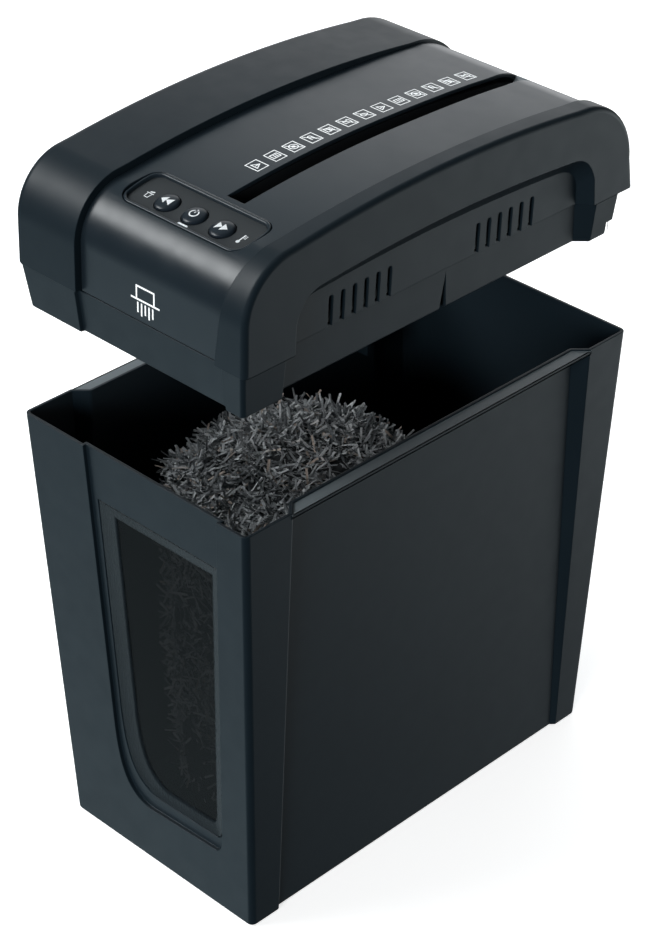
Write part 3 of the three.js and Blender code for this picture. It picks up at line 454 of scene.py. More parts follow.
def ease_edges(obj, width, segments=2, angle=32):
    """Round the hard edges a little and keep the flat faces flat in the shading."""
    bevel = obj.modifiers.new("Eased edges", "BEVEL")
    bevel.width = width * MM
    bevel.segments = segments
    bevel.limit_method = "ANGLE"
    bevel.angle_limit = math.radians(angle)
    bevel.use_clamp_overlap = False
    obj.data.shade_smooth()
    normals = obj.modifiers.new("Flat faces", "WEIGHTED_NORMAL")
    normals.keep_sharp = False


def smooth_by_angle(obj, angle=35):
    obj.data.shade_smooth()
    obj.data.set_sharp_from_angle(angle=math.radians(angle))


def seat(obj, body, material, replaces=()):
    """Give a finished piece its material and body, and the CAD nodes that it stands for."""
    obj.data.materials.clear()
    obj.data.materials.append(material)
    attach(obj, body)
    if replaces:
        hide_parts(*replaces)
    return obj


# ---------------------------------------------------------------- finishes
def colour(red, green, blue):
    """A linear colour from display values of 0 to 255."""
    def linear(value):
        share = value / 255
        return share / 12.92 if share <= 0.04045 else ((share + 0.055) / 1.055) ** 2.4
    return (linear(red), linear(green), linear(blue), 1.0)


def scaled(shade, factor):
    return tuple(min(channel * factor, 1.0) for channel in shade[:3]) + (1.0,)


# the Mix node's sockets when it mixes colours
MIX_COLOUR_INPUTS = (0, 6, 7)
MIX_COLOUR_RESULT = 2


def feed(tree, socket, value):
    if isinstance(value, bpy.types.NodeSocket):
        tree.links.new(value, socket)
    else:
        socket.default_value = value


def add_node(tree, kind, inputs=None, **settings):
    made = tree.nodes.new(kind)
    for key, value in settings.items():
        setattr(made, key, value)
    for key, value in (inputs or {}).items():
        feed(tree, made.inputs[key], value)
    return made


class Finish:
    """A node material built around one Principled shader."""

    def __init__(self, name, **inputs):
        self.material = bpy.data.materials.new(name)
        self.material.use_nodes = True
        self.tree = self.material.node_tree
        self.shader = self.tree.nodes["Principled BSDF"]
        for socket, value in inputs.items():
            self.shader.inputs[socket.replace("_", " ")].default_value = value
        self.place = self.node("ShaderNodeTexCoord").outputs["Object"]

    def node(self, kind, inputs=None, **settings):
        return add_node(self.tree, kind, inputs, **settings)

    def noise(self, size, detail=3.0, roughness=0.5, distortion=0.0):
        """Cloudy noise whose marks are about `size` millimetres across."""
        inputs = {"Vector": self.place, "Scale": 1 / (size * MM), "Detail": detail, "Roughness": roughness,
                  "Distortion": distortion}
        return self.node("ShaderNodeTexNoise", inputs).outputs["Fac"]

    def stretched(self, factors):
        """Texture space squeezed along each axis, for grain with a direction."""
        mapping = self.node("ShaderNodeMapping", {"Vector": self.place, "Scale": factors})
        self.place = mapping.outputs["Vector"]

    def ramp(self, fac, low, high, start=0.0, end=1.0):
        made = self.node("ShaderNodeValToRGB", {"Fac": fac})
        made.color_ramp.elements[0].position = start
        made.color_ramp.elements[1].position = end
        made.color_ramp.elements[0].color = low
        made.color_ramp.elements[1].color = high
        return made.outputs["Color"]

    def levels(self, fac, low, high, start=0.0, end=1.0):
        inputs = {"Value": fac, "From Min": start, "From Max": end, "To Min": low, "To Max": high}
        return self.node("ShaderNodeMapRange", inputs).outputs["Result"]

    def blended(self, fac, first, second, blend="MIX"):
        made = self.node("ShaderNodeMix", data_type="RGBA", blend_type=blend)
        for socket, value in zip(MIX_COLOUR_INPUTS, (fac, first, second)):
            feed(self.tree, made.inputs[socket], value)
        return made.outputs[MIX_COLOUR_RESULT]

    def edges(self, start=0.56, end=0.72):
        """1 along convex edges, 0 on flats."""
        pointiness = self.node("ShaderNodeNewGeometry").outputs["Pointiness"]
        return self.levels(pointiness, 0.0, 1.0, start, end)

    def bump(self, height, strength, distance, normal=None):
        inputs = {"Height": height, "Strength": strength, "Distance": distance * MM}
        if normal is not None:
            inputs["Normal"] = normal
        return self.node("ShaderNodeBump", inputs).outputs["Normal"]

    def set(self, **inputs):
        for socket, value in inputs.items():
            feed(self.tree, self.shader.inputs[socket.replace("_", " ")], value)


def moulded_plastic(name, shade, roughness, grain=0.35, relief=0.5, edge_highlight=0.25, **inputs):
    """Moulded plastic: fine spark grain, faint flow marks, and a painted highlight: colour lightened along convex
    edges.
    """
    finish = Finish(name, **inputs)
    cloud = finish.noise(60, 2, 0.5)
    fine = finish.noise(grain, 2, 0.6)
    body = finish.ramp(cloud, scaled(shade, 0.94), scaled(shade, 1.06), 0.3, 0.7)
    speckled = finish.blended(finish.levels(fine, 0.0, 0.25, 0.5, 0.8), body, scaled(shade, 1.5))
    # painted highlight: the colour is lightened along convex edges, as if they caught the light
    lightened_edge = finish.blended(finish.levels(finish.edges(), 0.0, edge_highlight), speckled, scaled(shade, 2.5))
    rough = finish.levels(finish.noise(12, 3, 0.5), roughness - 0.02, roughness + 0.03, 0.3, 0.7)
    finish.set(Base_Color=lightened_edge, Roughness=rough, Normal=finish.bump(fine, relief, 0.008))
    return finish.material


def brushed_metal(name, shade, roughness, along=(1.0, 40.0, 1.0), metallic=1.0, stain=0.7):
    """Rolled or turned metal: fine drawn grain, faint stains, and colour lightened along convex edges."""
    finish = Finish(name, Metallic=metallic)
    stains = finish.noise(14, 4, 0.6)
    base = finish.ramp(stains, scaled(shade, stain), scaled(shade, 1.08), 0.3, 0.7)
    lightened_edge = finish.blended(finish.levels(finish.edges(), 0.0, 0.5), base, scaled(shade, 1.5))
    finish.stretched(along)
    grain = finish.noise(3, 3, 0.7)
    rough = finish.levels(grain, roughness - 0.08, roughness + 0.12, 0.25, 0.75)
    finish.set(Base_Color=lightened_edge, Roughness=rough, Normal=finish.bump(grain, 0.25, 0.05))
    return finish.material


def glowing_printed_ink(name, shade, roughness=0.55):
    """Pad-printed ink, slightly uneven and thinner in places, glowing faintly in its own colour as painted light.
    """
    # painted light: the ink glows in its own colour so that it stays bright
    finish = Finish(name, Emission_Color=shade, Emission_Strength=0.55)
    patchy = finish.noise(0.8, 3, 0.6)
    finish.set(Base_Color=finish.ramp(patchy, scaled(shade, 0.78), shade, 0.3, 0.65))
    finish.set(Roughness=finish.levels(patchy, roughness - 0.1, roughness + 0.1))
    finish.set(Normal=finish.bump(patchy, 0.2, 0.02))
    return finish.material


def shred_paper(name, shade, dark, warm):
    """Shredded office paper: each strip its own grey, with a few warm ones and faint print."""
    finish = Finish(name, Roughness=0.85)
    per_strip = finish.node("ShaderNodeNewGeometry").outputs["Random Per Island"]
    greys = finish.ramp(per_strip, dark, shade, 0.0, 1.0)
    warmed = finish.blended(finish.levels(per_strip, 0.0, 0.7, 0.93, 0.96), greys, warm)
    print_marks = finish.noise(1.6, 2, 0.7)
    inked = finish.blended(finish.levels(print_marks, 0.0, 0.35, 0.55, 0.62), warmed, scaled(dark, 0.5))
    fibre = finish.noise(0.25, 3, 0.7)
    finish.set(Base_Color=inked, Normal=finish.bump(fibre, 0.3, 0.05))
    return finish.material


def smoked_plastic(name, shade, alpha, roughness=0.12, shine=0.5):
    """Tinted see-through plastic with a polished skin and hair-fine scratches."""
    finish = Finish(name, Alpha=alpha, Specular_IOR_Level=shine)
    cloud = finish.noise(20, 3, 0.5)
    finish.set(Base_Color=finish.ramp(cloud, scaled(shade, 0.85), scaled(shade, 1.15), 0.3, 0.7))
    finish.stretched((1.0, 1.0, 0.04))
    scratches = finish.noise(0.7, 2, 0.8)
    finish.set(Roughness=finish.levels(scratches, roughness - 0.03, roughness + 0.08, 0.45, 0.8))
    finish.set(Normal=finish.bump(scratches, 0.05, 0.02))
    return finish.material


def circuit_board(name, shade):
    """Solder mask over tracks, with copper showing as a lighter green."""
    finish = Finish(name, Coat_Weight=0.3)
    tracks = finish.node("ShaderNodeTexBrick", {"Vector": finish.place, "Scale": 260.0, "Mortar Size": 0.03,
                                                "Color1": shade, "Color2": scaled(shade, 1.5),
                                                "Mortar": scaled(shade, 0.5)}).outputs["Color"]
    weave = finish.noise(0.9, 3, 0.6)
    finish.set(Base_Color=finish.blended(finish.levels(weave, 0.0, 0.4), tracks, scaled(shade, 0.7)))
    finish.set(Roughness=finish.levels(weave, 0.25, 0.45), Normal=finish.bump(weave, 0.15, 0.05))
    return finish.material


def copper_winding(name, shade):
    """Enamelled wire wound round the armature."""
    finish = Finish(name, Metallic=0.85)
    wires = finish.node("ShaderNodeTexWave", {"Vector": finish.place, "Scale": 420.0, "Distortion": 1.5},
                        bands_direction="Y").outputs["Fac"]
    finish.set(Base_Color=finish.ramp(wires, scaled(shade, 0.4), scaled(shade, 1.1), 0.2, 0.8))
    finish.set(Roughness=finish.levels(wires, 0.3, 0.5), Normal=finish.bump(wires, 0.6, 0.3))
    return finish.material


FINISHES = {
    "shell_plastic": lambda: moulded_plastic("Satin shell plastic", colour(22, 31, 37), 0.44,
                                             Specular_IOR_Level=0.3),
    "panel_plastic": lambda: moulded_plastic("Polished panel plastic", colour(25, 33, 39), 0.3, 0.3, 0.25),
    "inlay_plastic": lambda: moulded_plastic("Matt inlay plastic", colour(44, 47, 49), 0.55, 0.25, 0.5),
    "button_plastic": lambda: moulded_plastic("Button plastic", colour(24, 31, 38), 0.3, 0.25, 0.2),
    "smoked_window": lambda: smoked_plastic("Smoked window", colour(22, 28, 32), 0.85, 0.28, 0.2),
    "shreds": lambda: shred_paper("Shredded paper", colour(176, 179, 181), colour(66, 70, 73),
                                  colour(140, 118, 100)),
    "clear_pipe": lambda: moulded_plastic("Milky light bar", colour(225, 232, 235), 0.3, 0.3, 0.1,
                                          Emission_Color=(0.9, 0.95, 1.0, 1.0), Emission_Strength=0.25),
    "black_plastic": lambda: moulded_plastic("Black inner plastic", colour(22, 24, 26), 0.5, 0.5, 0.6),
    "nylon": lambda: moulded_plastic("Gear nylon", colour(214, 209, 196), 0.5, 0.5, 0.4, 0.1),
    "board": lambda: circuit_board("Control board", colour(28, 92, 52)),
    "plate_steel": lambda: brushed_metal("Plated steel", colour(165, 168, 170), 0.35),
    "cutter_steel": lambda: brushed_metal("Cutter steel", colour(120, 122, 125), 0.32, (1.0, 12.0, 1.0)),
    "armature": lambda: copper_winding("Wound armature", colour(176, 104, 62)),
    "bronze": lambda: brushed_metal("Sintered bronze", colour(176, 132, 82), 0.42, (1.0, 6.0, 1.0)),
    "ferrite": lambda: moulded_plastic("Ferrite magnet", colour(58, 57, 60), 0.7, 0.8, 1.0),
}
made_finishes = {}


def own_finish(name, maker):
    if name not in made_finishes:
        made_finishes[name] = maker()
    return made_finishes[name]


def finish(slot):
    return own_finish(slot, FINISHES[slot])


# A lighter copy of the shell plastic: a painted highlight on faces that look lit but get little light
def painted_highlight_plastic():
    return own_finish("painted rim highlight", lambda: moulded_plastic("Painted highlight rim plastic", colour(104, 112, 116), 0.4))


def icon_ink():
    return own_finish("icon ink", lambda: glowing_printed_ink("Glowing grey ink", colour(196, 200, 202)))


# ---------------------------------------------------------------- settings
def length_property(name, description, default):
    return bpy.props.FloatProperty(
        name=name, description=description, default=default, subtype="DISTANCE", unit="LENGTH")


def shade_property(name, description, default):
    return bpy.props.FloatVectorProperty(
        name=name, description=description, default=default, subtype="COLOR", size=3)


class BinSettings(bpy.types.PropertyGroup):
    edge: length_property("Edge radius", "Radius of the bin's moulded edges", 0.0005)
    foot: length_property("Foot radius", "Radius round the bottom of the bin", 0.0016)


class ShredSettings(bpy.types.PropertyGroup):
    count: bpy.props.IntProperty(
        name="Strips", description="Number of paper strips on the heap", default=6400)
    width: length_property("Strip width", "Width of a cut strip", 0.0015)
    length: length_property("Strip length", "Longest cut strip", 0.023)
    seed: bpy.props.IntProperty(
        name="Seed", description="Seed for how the strips lie", default=7)


class HeadSettings(bpy.types.PropertyGroup):
    left_round: length_property("Left edge radius", "Radius along the wide band's outer edge", 0.007)
    right_round: length_property("Right edge radius", "Radius along the narrow rail's outer edge", 0.0036)
    edge: length_property("Edge radius", "Radius of the head's other moulded edges", 0.0005)


class MarkSettings(bpy.types.PropertyGroup):
    count: bpy.props.IntProperty(
        name="Pictograms", description="Number of printed squares", default=13)
    line: length_property("Line", "Width of a printed line", 0.0006)
    ink: shade_property("Ink", "Colour of the printed marks", colour(226, 229, 230)[:3])


class StageSettings(bpy.types.PropertyGroup):
    floor_shade: shade_property("Floor", "Colour of the floor", (0.9, 0.9, 0.9))
    key_strength: bpy.props.FloatProperty(
        name="Overhead light", description="Strength of the soft overhead light", default=0.7)
    front_strength: bpy.props.FloatProperty(
        name="Front light", description="Strength of the low light that reaches into the bin", default=2.6)
    lens: bpy.props.FloatProperty(
        name="Lens", description="Focal length in millimetres", default=103.57)


# ---------------------------------------------------------------- bin
def bin_ring(size, inset, z):
    return [(x, y, z) for x, y in bin_plan(size, inset)]


def bin_shell(name, edge, foot):
    """The bin's walls and floor, its rim flanges, sunk front panel and window opening."""
    rings = []
    for angle in (0, 30, 60, 90):
        turn = math.radians(angle)
        z = foot * (1 - math.sin(turn))
        rings.insert(0, bin_ring(mixed(BIN_BASE, BIN_TOP, z / BIN_HEIGHT), foot * (1 - math.cos(turn)), z))
    rings.append(bin_ring(BIN_TOP, 0, BIN_HEIGHT))
    body = loft(name, rings)
    flange_top = BIN_HEIGHT - FLANGE["drop"]
    for side in (-1, 1):
        xs = sorted((side * FLANGE["inner"], side * (HALF_WIDTH - 0.02)))
        along = (BIN_TOP["step_front"] - 1, BIN_TOP["step_rear"] + 1)
        add(body, block("flange", xs, along, (flange_top - FLANGE["thick"], flange_top)))
    knee = FLOOR_FILLET * 0.3
    past_rim = 1.01
    hollow = loft("hollow", [
        bin_ring(BIN_BASE, BIN_WALL + FLOOR_FILLET, BIN_FLOOR),
        bin_ring(mixed(BIN_BASE, BIN_TOP, knee / BIN_HEIGHT), BIN_WALL + knee, BIN_FLOOR + knee),
        bin_ring(mixed(BIN_BASE, BIN_TOP, FLOOR_FILLET / BIN_HEIGHT), BIN_WALL, BIN_FLOOR + FLOOR_FILLET),
        bin_ring(mixed(BIN_BASE, BIN_TOP, past_rim), BIN_WALL, BIN_HEIGHT * past_rim),
    ])

    def from_front(name, outline, depth):
        return prism_y(name, outline, FRONT_FACE - 10, FRONT_FACE + depth, lean=FRONT_LEAN)

    backing = from_front("backing", inset_loop(front_panel_outline(), -BIN_WALL), BIN_WALL)
    cut(body, cut(hollow, backing))
    cut(body, from_front("pocket", front_panel_outline(), 0))
    cut(body, from_front("opening", window_outline(), 10))
    add(body, block("rib", PLUNGER_RIB["x"], PLUNGER_RIB["y"], PLUNGER_RIB["z"]))
    ease_edges(body, edge)
    return body


def paint(obj, material, wanted):
    """Give a second finish to the faces that the test picks by their centre and normal."""
    obj.data.materials.append(material)
    for face in obj.data.polygons:
        if wanted(face.center / MM, face.normal):
            face.material_index = 1


# painted highlight: the rim flanges' upper faces get the lighter plastic
def on_flange(centre, normal):
    level = BIN_HEIGHT - FLANGE["drop"]
    return abs(centre.x) > FLANGE["inner"] and normal.z > 0.9 and abs(centre.z - level) < 0.3


# painted light: the slot's end ramp, which lies in shade, gets the lighter rim plastic
def on_slot_end(centre, normal):
    beside = abs(centre.x - SLOT["x"])
    return beside < SLOT["width"] / 2 and centre.y > SLOT["rear"] - 10 and normal.y < -0.3


class SHREDDER_OT_bin(bpy.types.Operator):
    """Build the waste bin"""
    bl_idname = "shredder.bin"
    bl_label = "Bin"

    def execute(self, context):
        settings = context.scene.shredder_bin
        body = bin_shell("bin_shell", settings.edge / MM, settings.foot / MM)
        seat(body, "bin", finish("shell_plastic"), ["bin_body"])
        paint(body, painted_highlight_plastic(), on_flange)
        return {"FINISHED"}


WINDOW_BACK = 3.4  # depth of the window moulding behind the front panel's face


def leaned_ring(outline, depth):
    """An outline in (x, z) laid at a depth behind the face of the leaning front panel."""
    return [(x, FRONT_FACE + depth - FRONT_LEAN * z, z) for x, z in outline]


class SHREDDER_OT_window(bpy.types.Operator):
    """Build the window's sloped frame and its pane"""
    bl_idname = "shredder.window"
    bl_label = "Window"

    def execute(self, context):
        outer = inset_loop(window_outline(), 0.3)
        pane = pane_outline()
        border = [
            leaned_ring(outer, WINDOW_BACK),
            leaned_ring(outer, 0.5),
            leaned_ring(inset_loop(outer, 0.4), 0.2),
            leaned_ring(inset_loop(outer, 1.3), 0.35),
            leaned_ring(inset_loop(pane, -2.2), 1.5),
            leaned_ring(inset_loop(pane, -1.6), 1.5),
            leaned_ring(inset_loop(pane, -0.5), 1.9),
            leaned_ring(pane, 2.3),
            leaned_ring(pane, WINDOW_BACK),
        ]
        rim = loft("window_frame", border, tube=True)
        smooth_by_angle(rim, 25)
        seat(rim, "bin", finish("smoked_window"), ["bin_window"])
        sheet = loft("window_pane", [leaned_ring(inset_loop(pane, -0.3), depth) for depth in (2.5, 3.3)])
        smooth_by_angle(sheet)
        glass = own_finish("pane", lambda: smoked_plastic("Window pane", colour(6, 8, 9), 0.6, 0.16, 0.06))
        seat(sheet, "bin", glass)
        return {"FINISHED"}


# ---------------------------------------------------------------- shreds
HEAP_EDGE = [(10, -144), (79, -142), (80.5, -70), (80, 8), (46, 26), (-9, 28), (-38, 12), (-56, -38),
             (-44, -98)]
HEAP_CENTRE = (20.0, -52.0)
HEAP_TOP = 261.0
# share of the heap's plan that it fills at each height
HEAP_LEVELS = [(0.72, 3.0), (0.86, 40.0), (0.93, 90.0), (0.965, 140.0), (0.975, 190.0), (0.97, 232.0),
               (0.93, 246.0), (0.84, 254.0), (0.7, 257.5), (0.5, 258.6), (0.3, 259.2), (0.12, 259.5)]
SHARE_ON_TOP = 0.62  # of all strips
SHARE_AT_WINDOW = 0.7  # of the strips that aren't on top
CLEAR_OF_WALL = 0.5
CLEAR_OF_WINDOW = 4.2


def heap_point(x, y, share):
    """A point on the way from the heap's centre to (x, y)."""
    return (HEAP_CENTRE[0] + (x - HEAP_CENTRE[0]) * share, HEAP_CENTRE[1] + (y - HEAP_CENTRE[1]) * share)


def heap_ring(scale, z, wobble):
    """One level of the heap: a rounded outline pushed in and out by smooth noise."""
    corners = [heap_point(x, y, scale) for x, y in HEAP_EDGE]
    smooth = filleted(corners, [9 * scale] * len(corners), 5)
    ring = []
    for x, y in smooth:
        push = 1 - wobble * abs(noise.noise(Vector((x, y, z)) * 0.05))
        ring.append((*heap_point(x, y, push), z))
    return ring


# The solid heap under the loose strips; its dark finish is painted shade
def heap_core(name):
    return loft(name, [heap_ring(scale, z, 0.05) for scale, z in HEAP_LEVELS])


def distance_out(x, y):
    """How far out of the heap's plan (x, y) is: 0 at the centre, 1 at the edge, more outside."""
    angle = math.atan2(y - HEAP_CENTRE[1], x - HEAP_CENTRE[0])
    reach = 0.0
    count = len(HEAP_EDGE)
    ray = Vector((math.cos(angle), math.sin(angle)))
    for i in range(count):
        first = Vector(HEAP_EDGE[i]) - Vector(HEAP_CENTRE)
        second = Vector(HEAP_EDGE[(i + 1) % count]) - Vector(HEAP_CENTRE)
        side = second - first
        cross = ray.x * side.y - ray.y * side.x
        if abs(cross) < 1e-9:
            continue
        distance = (first.x * side.y - first.y * side.x) / cross
        share = (first.x * ray.y - first.y * ray.x) / cross
        if distance > 0 and 0 <= share <= 1:
            reach = distance
    return math.hypot(x - HEAP_CENTRE[0], y - HEAP_CENTRE[1]) / max(reach, 1e-6)


def strip(rng, centre, normal, length, width, lift):
    """A curled strip of paper as a closed sliver of five cross-sections."""
    sections = 5
    thick = 0.12
    side = Vector((rng.uniform(-1, 1), rng.uniform(-1, 1), rng.uniform(-1, 1)))
    along = normal.cross(side).normalized()
    along = (along + normal * lift).normalized()
    across = along.cross(normal).normalized()
    up = across.cross(along).normalized()
    twist = rng.uniform(-0.9, 0.9)
    curl = rng.uniform(-1.4, 1.4)
    verts = []
    for i in range(sections):
        t = i / (sections - 1) - 0.5
        bend = curl * t
        spine = (centre + along * (length * t) + up * (length * 0.35 * curl * t * t)
                 + across * (length * 0.1 * bend))
        roll = Matrix.Rotation(twist * t * 2, 3, along)
        wide = (roll @ across) * (width / 2)
        deep = (roll @ up) * (thick / 2)
        verts += [spine - wide - deep, spine + wide - deep, spine + wide + deep, spine - wide + deep]
    faces = [(3, 2, 1, 0)]
    for i in range(sections - 1):
        low = 4 * i
        for k in range(4):
            j = (k + 1) % 4
            faces.append((low + k, low + j, low + 4 + j, low + 4 + k))
    last = 4 * (sections - 1)
    faces.append((last, last + 1, last + 2, last + 3))
    return verts, faces


def held_inside(verts):
    """Slide a strip back if any of it would stand through the bin's wall or the window."""
    too_far = 0.0
    too_near = 0.0
    for vert in verts:
        side = BIN_BASE["recess"] + (BIN_TOP["recess"] - BIN_BASE["recess"]) * vert.z / BIN_HEIGHT
        too_far = max(too_far, vert.x - (side - BIN_WALL - CLEAR_OF_WALL))
        too_near = max(too_near, FRONT_FACE + CLEAR_OF_WINDOW - FRONT_LEAN * vert.z - vert.y)
    return [vert + Vector((-too_far, too_near, 0)) for vert in verts]


def strip_place(rng):
    """A point on the heap's surface and the way out of it there."""
    if rng.random() < SHARE_ON_TOP:
        while True:
            x = rng.uniform(-58, 82)
            y = rng.uniform(-146, 30)
            out = distance_out(x, y)
            if out < 0.985:
                break
        drop = 10 * max(out - 0.72, 0) ** 2 * 12
        lump = 1.8 * noise.noise(Vector((x, y, 3.0)) * 0.045)
        height = HEAP_TOP - 2.2 - drop + lump + rng.uniform(-1.5, 0.8)
        spread = Vector((rng.uniform(-0.5, 0.5), rng.uniform(-0.5, 0.5), 1.0)).normalized()
        return Vector((x, y, height)), spread
    z = rng.uniform(58, 250)
    share = 0.72 + 0.25 * min((z - 3) / 140, 1) ** 0.6
    if rng.random() < SHARE_AT_WINDOW:
        x = rng.uniform(2, 74)
        y = heap_point(x, -143, share)[1] + rng.uniform(-0.6, 2.5)
        facing = Vector((rng.uniform(-0.4, 0.4), -1.0, rng.uniform(-0.4, 0.4)))
        return Vector((x, y, z)), facing.normalized()
    corner = Vector(HEAP_EDGE[0]).lerp(Vector(HEAP_EDGE[-1]), rng.random())
    point = Vector((*heap_point(corner.x, corner.y, share), z))
    return point, Vector((-0.7, -0.7, rng.uniform(-0.4, 0.4))).normalized()


class SHREDDER_OT_shreds(bpy.types.Operator):
    """Fill the bin with a heap of cut paper"""
    bl_idname = "shredder.shreds"
    bl_label = "Shreds"

    def execute(self, context):
        settings = context.scene.shredder_shreds
        rng = random.Random(settings.seed)
        core = heap_core("shred_heap")
        smooth_by_angle(core, 60)
        # The heap's core is dark paper standing in for the shade between and under the loose strips: painted shade
        deep = own_finish("shaded heap core", lambda: shred_paper(
            "Painted shade shreds", colour(34, 36, 38), colour(14, 15, 16), colour(40, 34, 30)))
        seat(core, "bin", deep)
        verts = []
        faces = []
        longest = settings.length / MM
        for _ in range(settings.count):
            centre, normal = strip_place(rng)
            length = rng.uniform(0.4, 1.0) * longest
            width = settings.width / MM * rng.uniform(0.75, 1.1)
            lift = rng.choice((0.0, 0.0, 0.15, 0.35, 0.7)) * rng.uniform(0.3, 1)
            if normal.z < 0.5:
                lift *= 0.2
            some_verts, some_faces = strip(rng, centre, normal, length, width, lift)
            base = len(verts)
            verts += held_inside(some_verts)
            faces += [tuple(base + k for k in face) for face in some_faces]
        strips = piece("loose_shreds", verts, faces)
        seat(strips, "bin", finish("shreds"), ["shredded_paper"])
        return {"FINISHED"}


# ---------------------------------------------------------------- head shells
def head_body(name, columns, bottom=0.0, rising=False):
    """A body with the head's side outline; columns are (x, inset) from left to right."""
    rings = [[(x, y, h) for y, h in head_outline(inset, bottom, rising)] for x, inset in columns]
    return loft(name, rings, AT_HEAD)


def head_block(name, inset, x0, x1, bottom=-20.0, rising=False):
    return head_body(name, [(x0, inset), (x1, inset)], bottom, rising)


def panel_region(name, grow, y0, y1):
    """Everything between the two edges of the centre panel, over the given length."""
    low, high = -60.0, 110.0

    def right(h):
        return PANEL["right"] + PANEL["flare"] * h + grow

    left = PANEL["left"] - grow
    return prism_y(name, [(left, low), (right(low), low), (right(high), high), (left, high)], y0, y1, AT_HEAD)


def rounded_columns(left, right):
    """Columns across the head whose outer edges are rounded with the two radii."""
    steps = 7
    columns = []
    for i in range(steps + 1):
        turn = math.radians(90 * i / steps)
        columns.append((-HALF_WIDTH + left * (1 - math.cos(turn)), left * (1 - math.sin(turn))))
    for i in range(steps, -1, -1):
        turn = math.radians(90 * i / steps)
        columns.append((HALF_WIDTH - right * (1 - math.cos(turn)), right * (1 - math.sin(turn))))
    return columns


def arch_cutter(side):
    """The arch's bevelled pocket: a steep outer band, then a wider sloping one."""
    levels = [(HALF_WIDTH + 1, ARCH_OUTER), (HALF_WIDTH, ARCH_OUTER), (HALF_WIDTH - ARCH["band"], ARCH_MIDDLE),
              (HALF_WIDTH - ARCH["depth"], ARCH_INNER)]
    return loft("arch", [[(side * x, y, h) for y, h in arch_outline(**size)] for x, size in levels], AT_HEAD)


def on_side(side, xs):
    """A span of x on the right (1) or left (-1) half, in rising order."""
    return sorted((side * xs[0], side * xs[1]))


def vent_outline(y):
    """A slot with a round top, leaning a little, open at the seam."""
    half = VENTS["width"] / 2
    rake = VENTS["rake"]
    top = VENTS["height"]
    points = [(y - half - rake, -5.0), (y + half - rake, -5.0)]
    for i in range(9):
        angle = math.radians(180 * i / 8)
        points.append((y + half * math.cos(angle), top - half + half * math.sin(angle)))
    return points


def cut_side_vents(shell, side):
    """Cut one side's two groups of vents, with a roofed baffle behind each group."""
    near, far = (side * x for x in VENTS["x"])
    slots = [prism_x("vent", vent_outline(start + i * VENTS["pitch"]), near, far)
             for start in VENTS["starts"] for i in range(VENTS["count"])]
    cut(shell, merged("vents", slots))
    for start in VENTS["starts"]:
        last = start + (VENTS["count"] - 1) * VENTS["pitch"]
        along = (start - BAFFLE["beyond"], last + BAFFLE["beyond"])
        for xs, low in ((BAFFLE["wall"], BAFFLE["low"]), (BAFFLE["roof"], BAFFLE["under_roof"])):
            add(shell, block("baffle", on_side(side, xs), along, (low, BAFFLE["high"]), AT_HEAD))


def rear_vents():
    """Cutters for the row of small vents along the top rear edge."""
    slots = []
    for i in range(REAR_VENTS["count"]):
        x = REAR_VENTS["x"] + (i - (REAR_VENTS["count"] - 1) / 2) * REAR_VENTS["pitch"]
        xs = (x - REAR_VENTS["width"] / 2, x + REAR_VENTS["width"] / 2)
        slots.append(block("slot", xs, REAR_VENTS["y"], (REAR_VENTS["low"], REAR_VENTS["high"]), AT_HEAD))
    return slots


def upper_shell(name, settings):
    shell = head_body(name, rounded_columns(settings.left_round / MM, settings.right_round / MM))
    inner_side = HALF_WIDTH - SHELL_WALL
    web_left = PANEL["left"] - SHELL_WALL
    behind = PANEL["sunk"] + PANEL["thick"] + 0.3
    above = panel_region("above", 0, -REACH, PANEL["rear"])
    cut(shell, cut(above, head_block("under", behind, PANEL["left"] - 1, inner_side, -70, True)))
    beyond = panel_region("beyond", 0, PANEL["rear"] - 1, REACH)
    middle = head_block("tail middle", PANEL["sunk"], PANEL["left"] - 1, HALF_WIDTH, -70, True)
    cut(shell, cut(beyond, middle))

    arch_blocks = [block("arch ledge", on_side(side, ARCH_LEDGE["x"]), ARCH_LEDGE["y"], ARCH_LEDGE["h"], AT_HEAD)
                   for side in (-1, 1)]
    left_hollow = head_block("left hollow", SHELL_WALL + 1.5, -inner_side, web_left)
    cut(shell, cut(left_hollow, arch_blocks[0]))
    right_hollow = head_block("right hollow", SHELL_WALL + 0.5, PANEL["right"] - 4, inner_side)
    cut(right_hollow, panel_region("web", SHELL_WALL, -REACH, REACH), arch_blocks[1])
    cut(shell, right_hollow)
    centre = head_block("centre hollow", behind + 2.2, web_left - 1, inner_side)
    cut(shell, keep_inside(centre, panel_region("centre", 3.4, -REACH, REACH)))
    tail = head_block("tail hollow", PANEL["sunk"] + SHELL_WALL, web_left - 1, inner_side)
    behind_panel = block("tail", (web_left - 2, inner_side + 1), (PANEL["rear"] + SHELL_WALL, REACH),
                         (-REACH, REACH), AT_HEAD)
    cut(shell, keep_inside(tail, behind_panel))
    inside = (PANEL["left"] + PANEL["ledge"], PANEL["right"] - PANEL["ledge"])
    cut(shell, block("window", inside, (-REACH, PANEL["rear"] - 1.5), (-10, REACH), AT_HEAD))

    for side in (-1, 1):
        cut(shell, arch_cutter(side))
        cut_side_vents(shell, side)
    cut(shell, merged("rear vents", rear_vents()))
    cut(shell, prism_z("inlay well", inlay_outline(-0.5), *INLAY_CUT, AT_CONTROLS))
    ease_edges(shell, settings.edge / MM)
    return shell


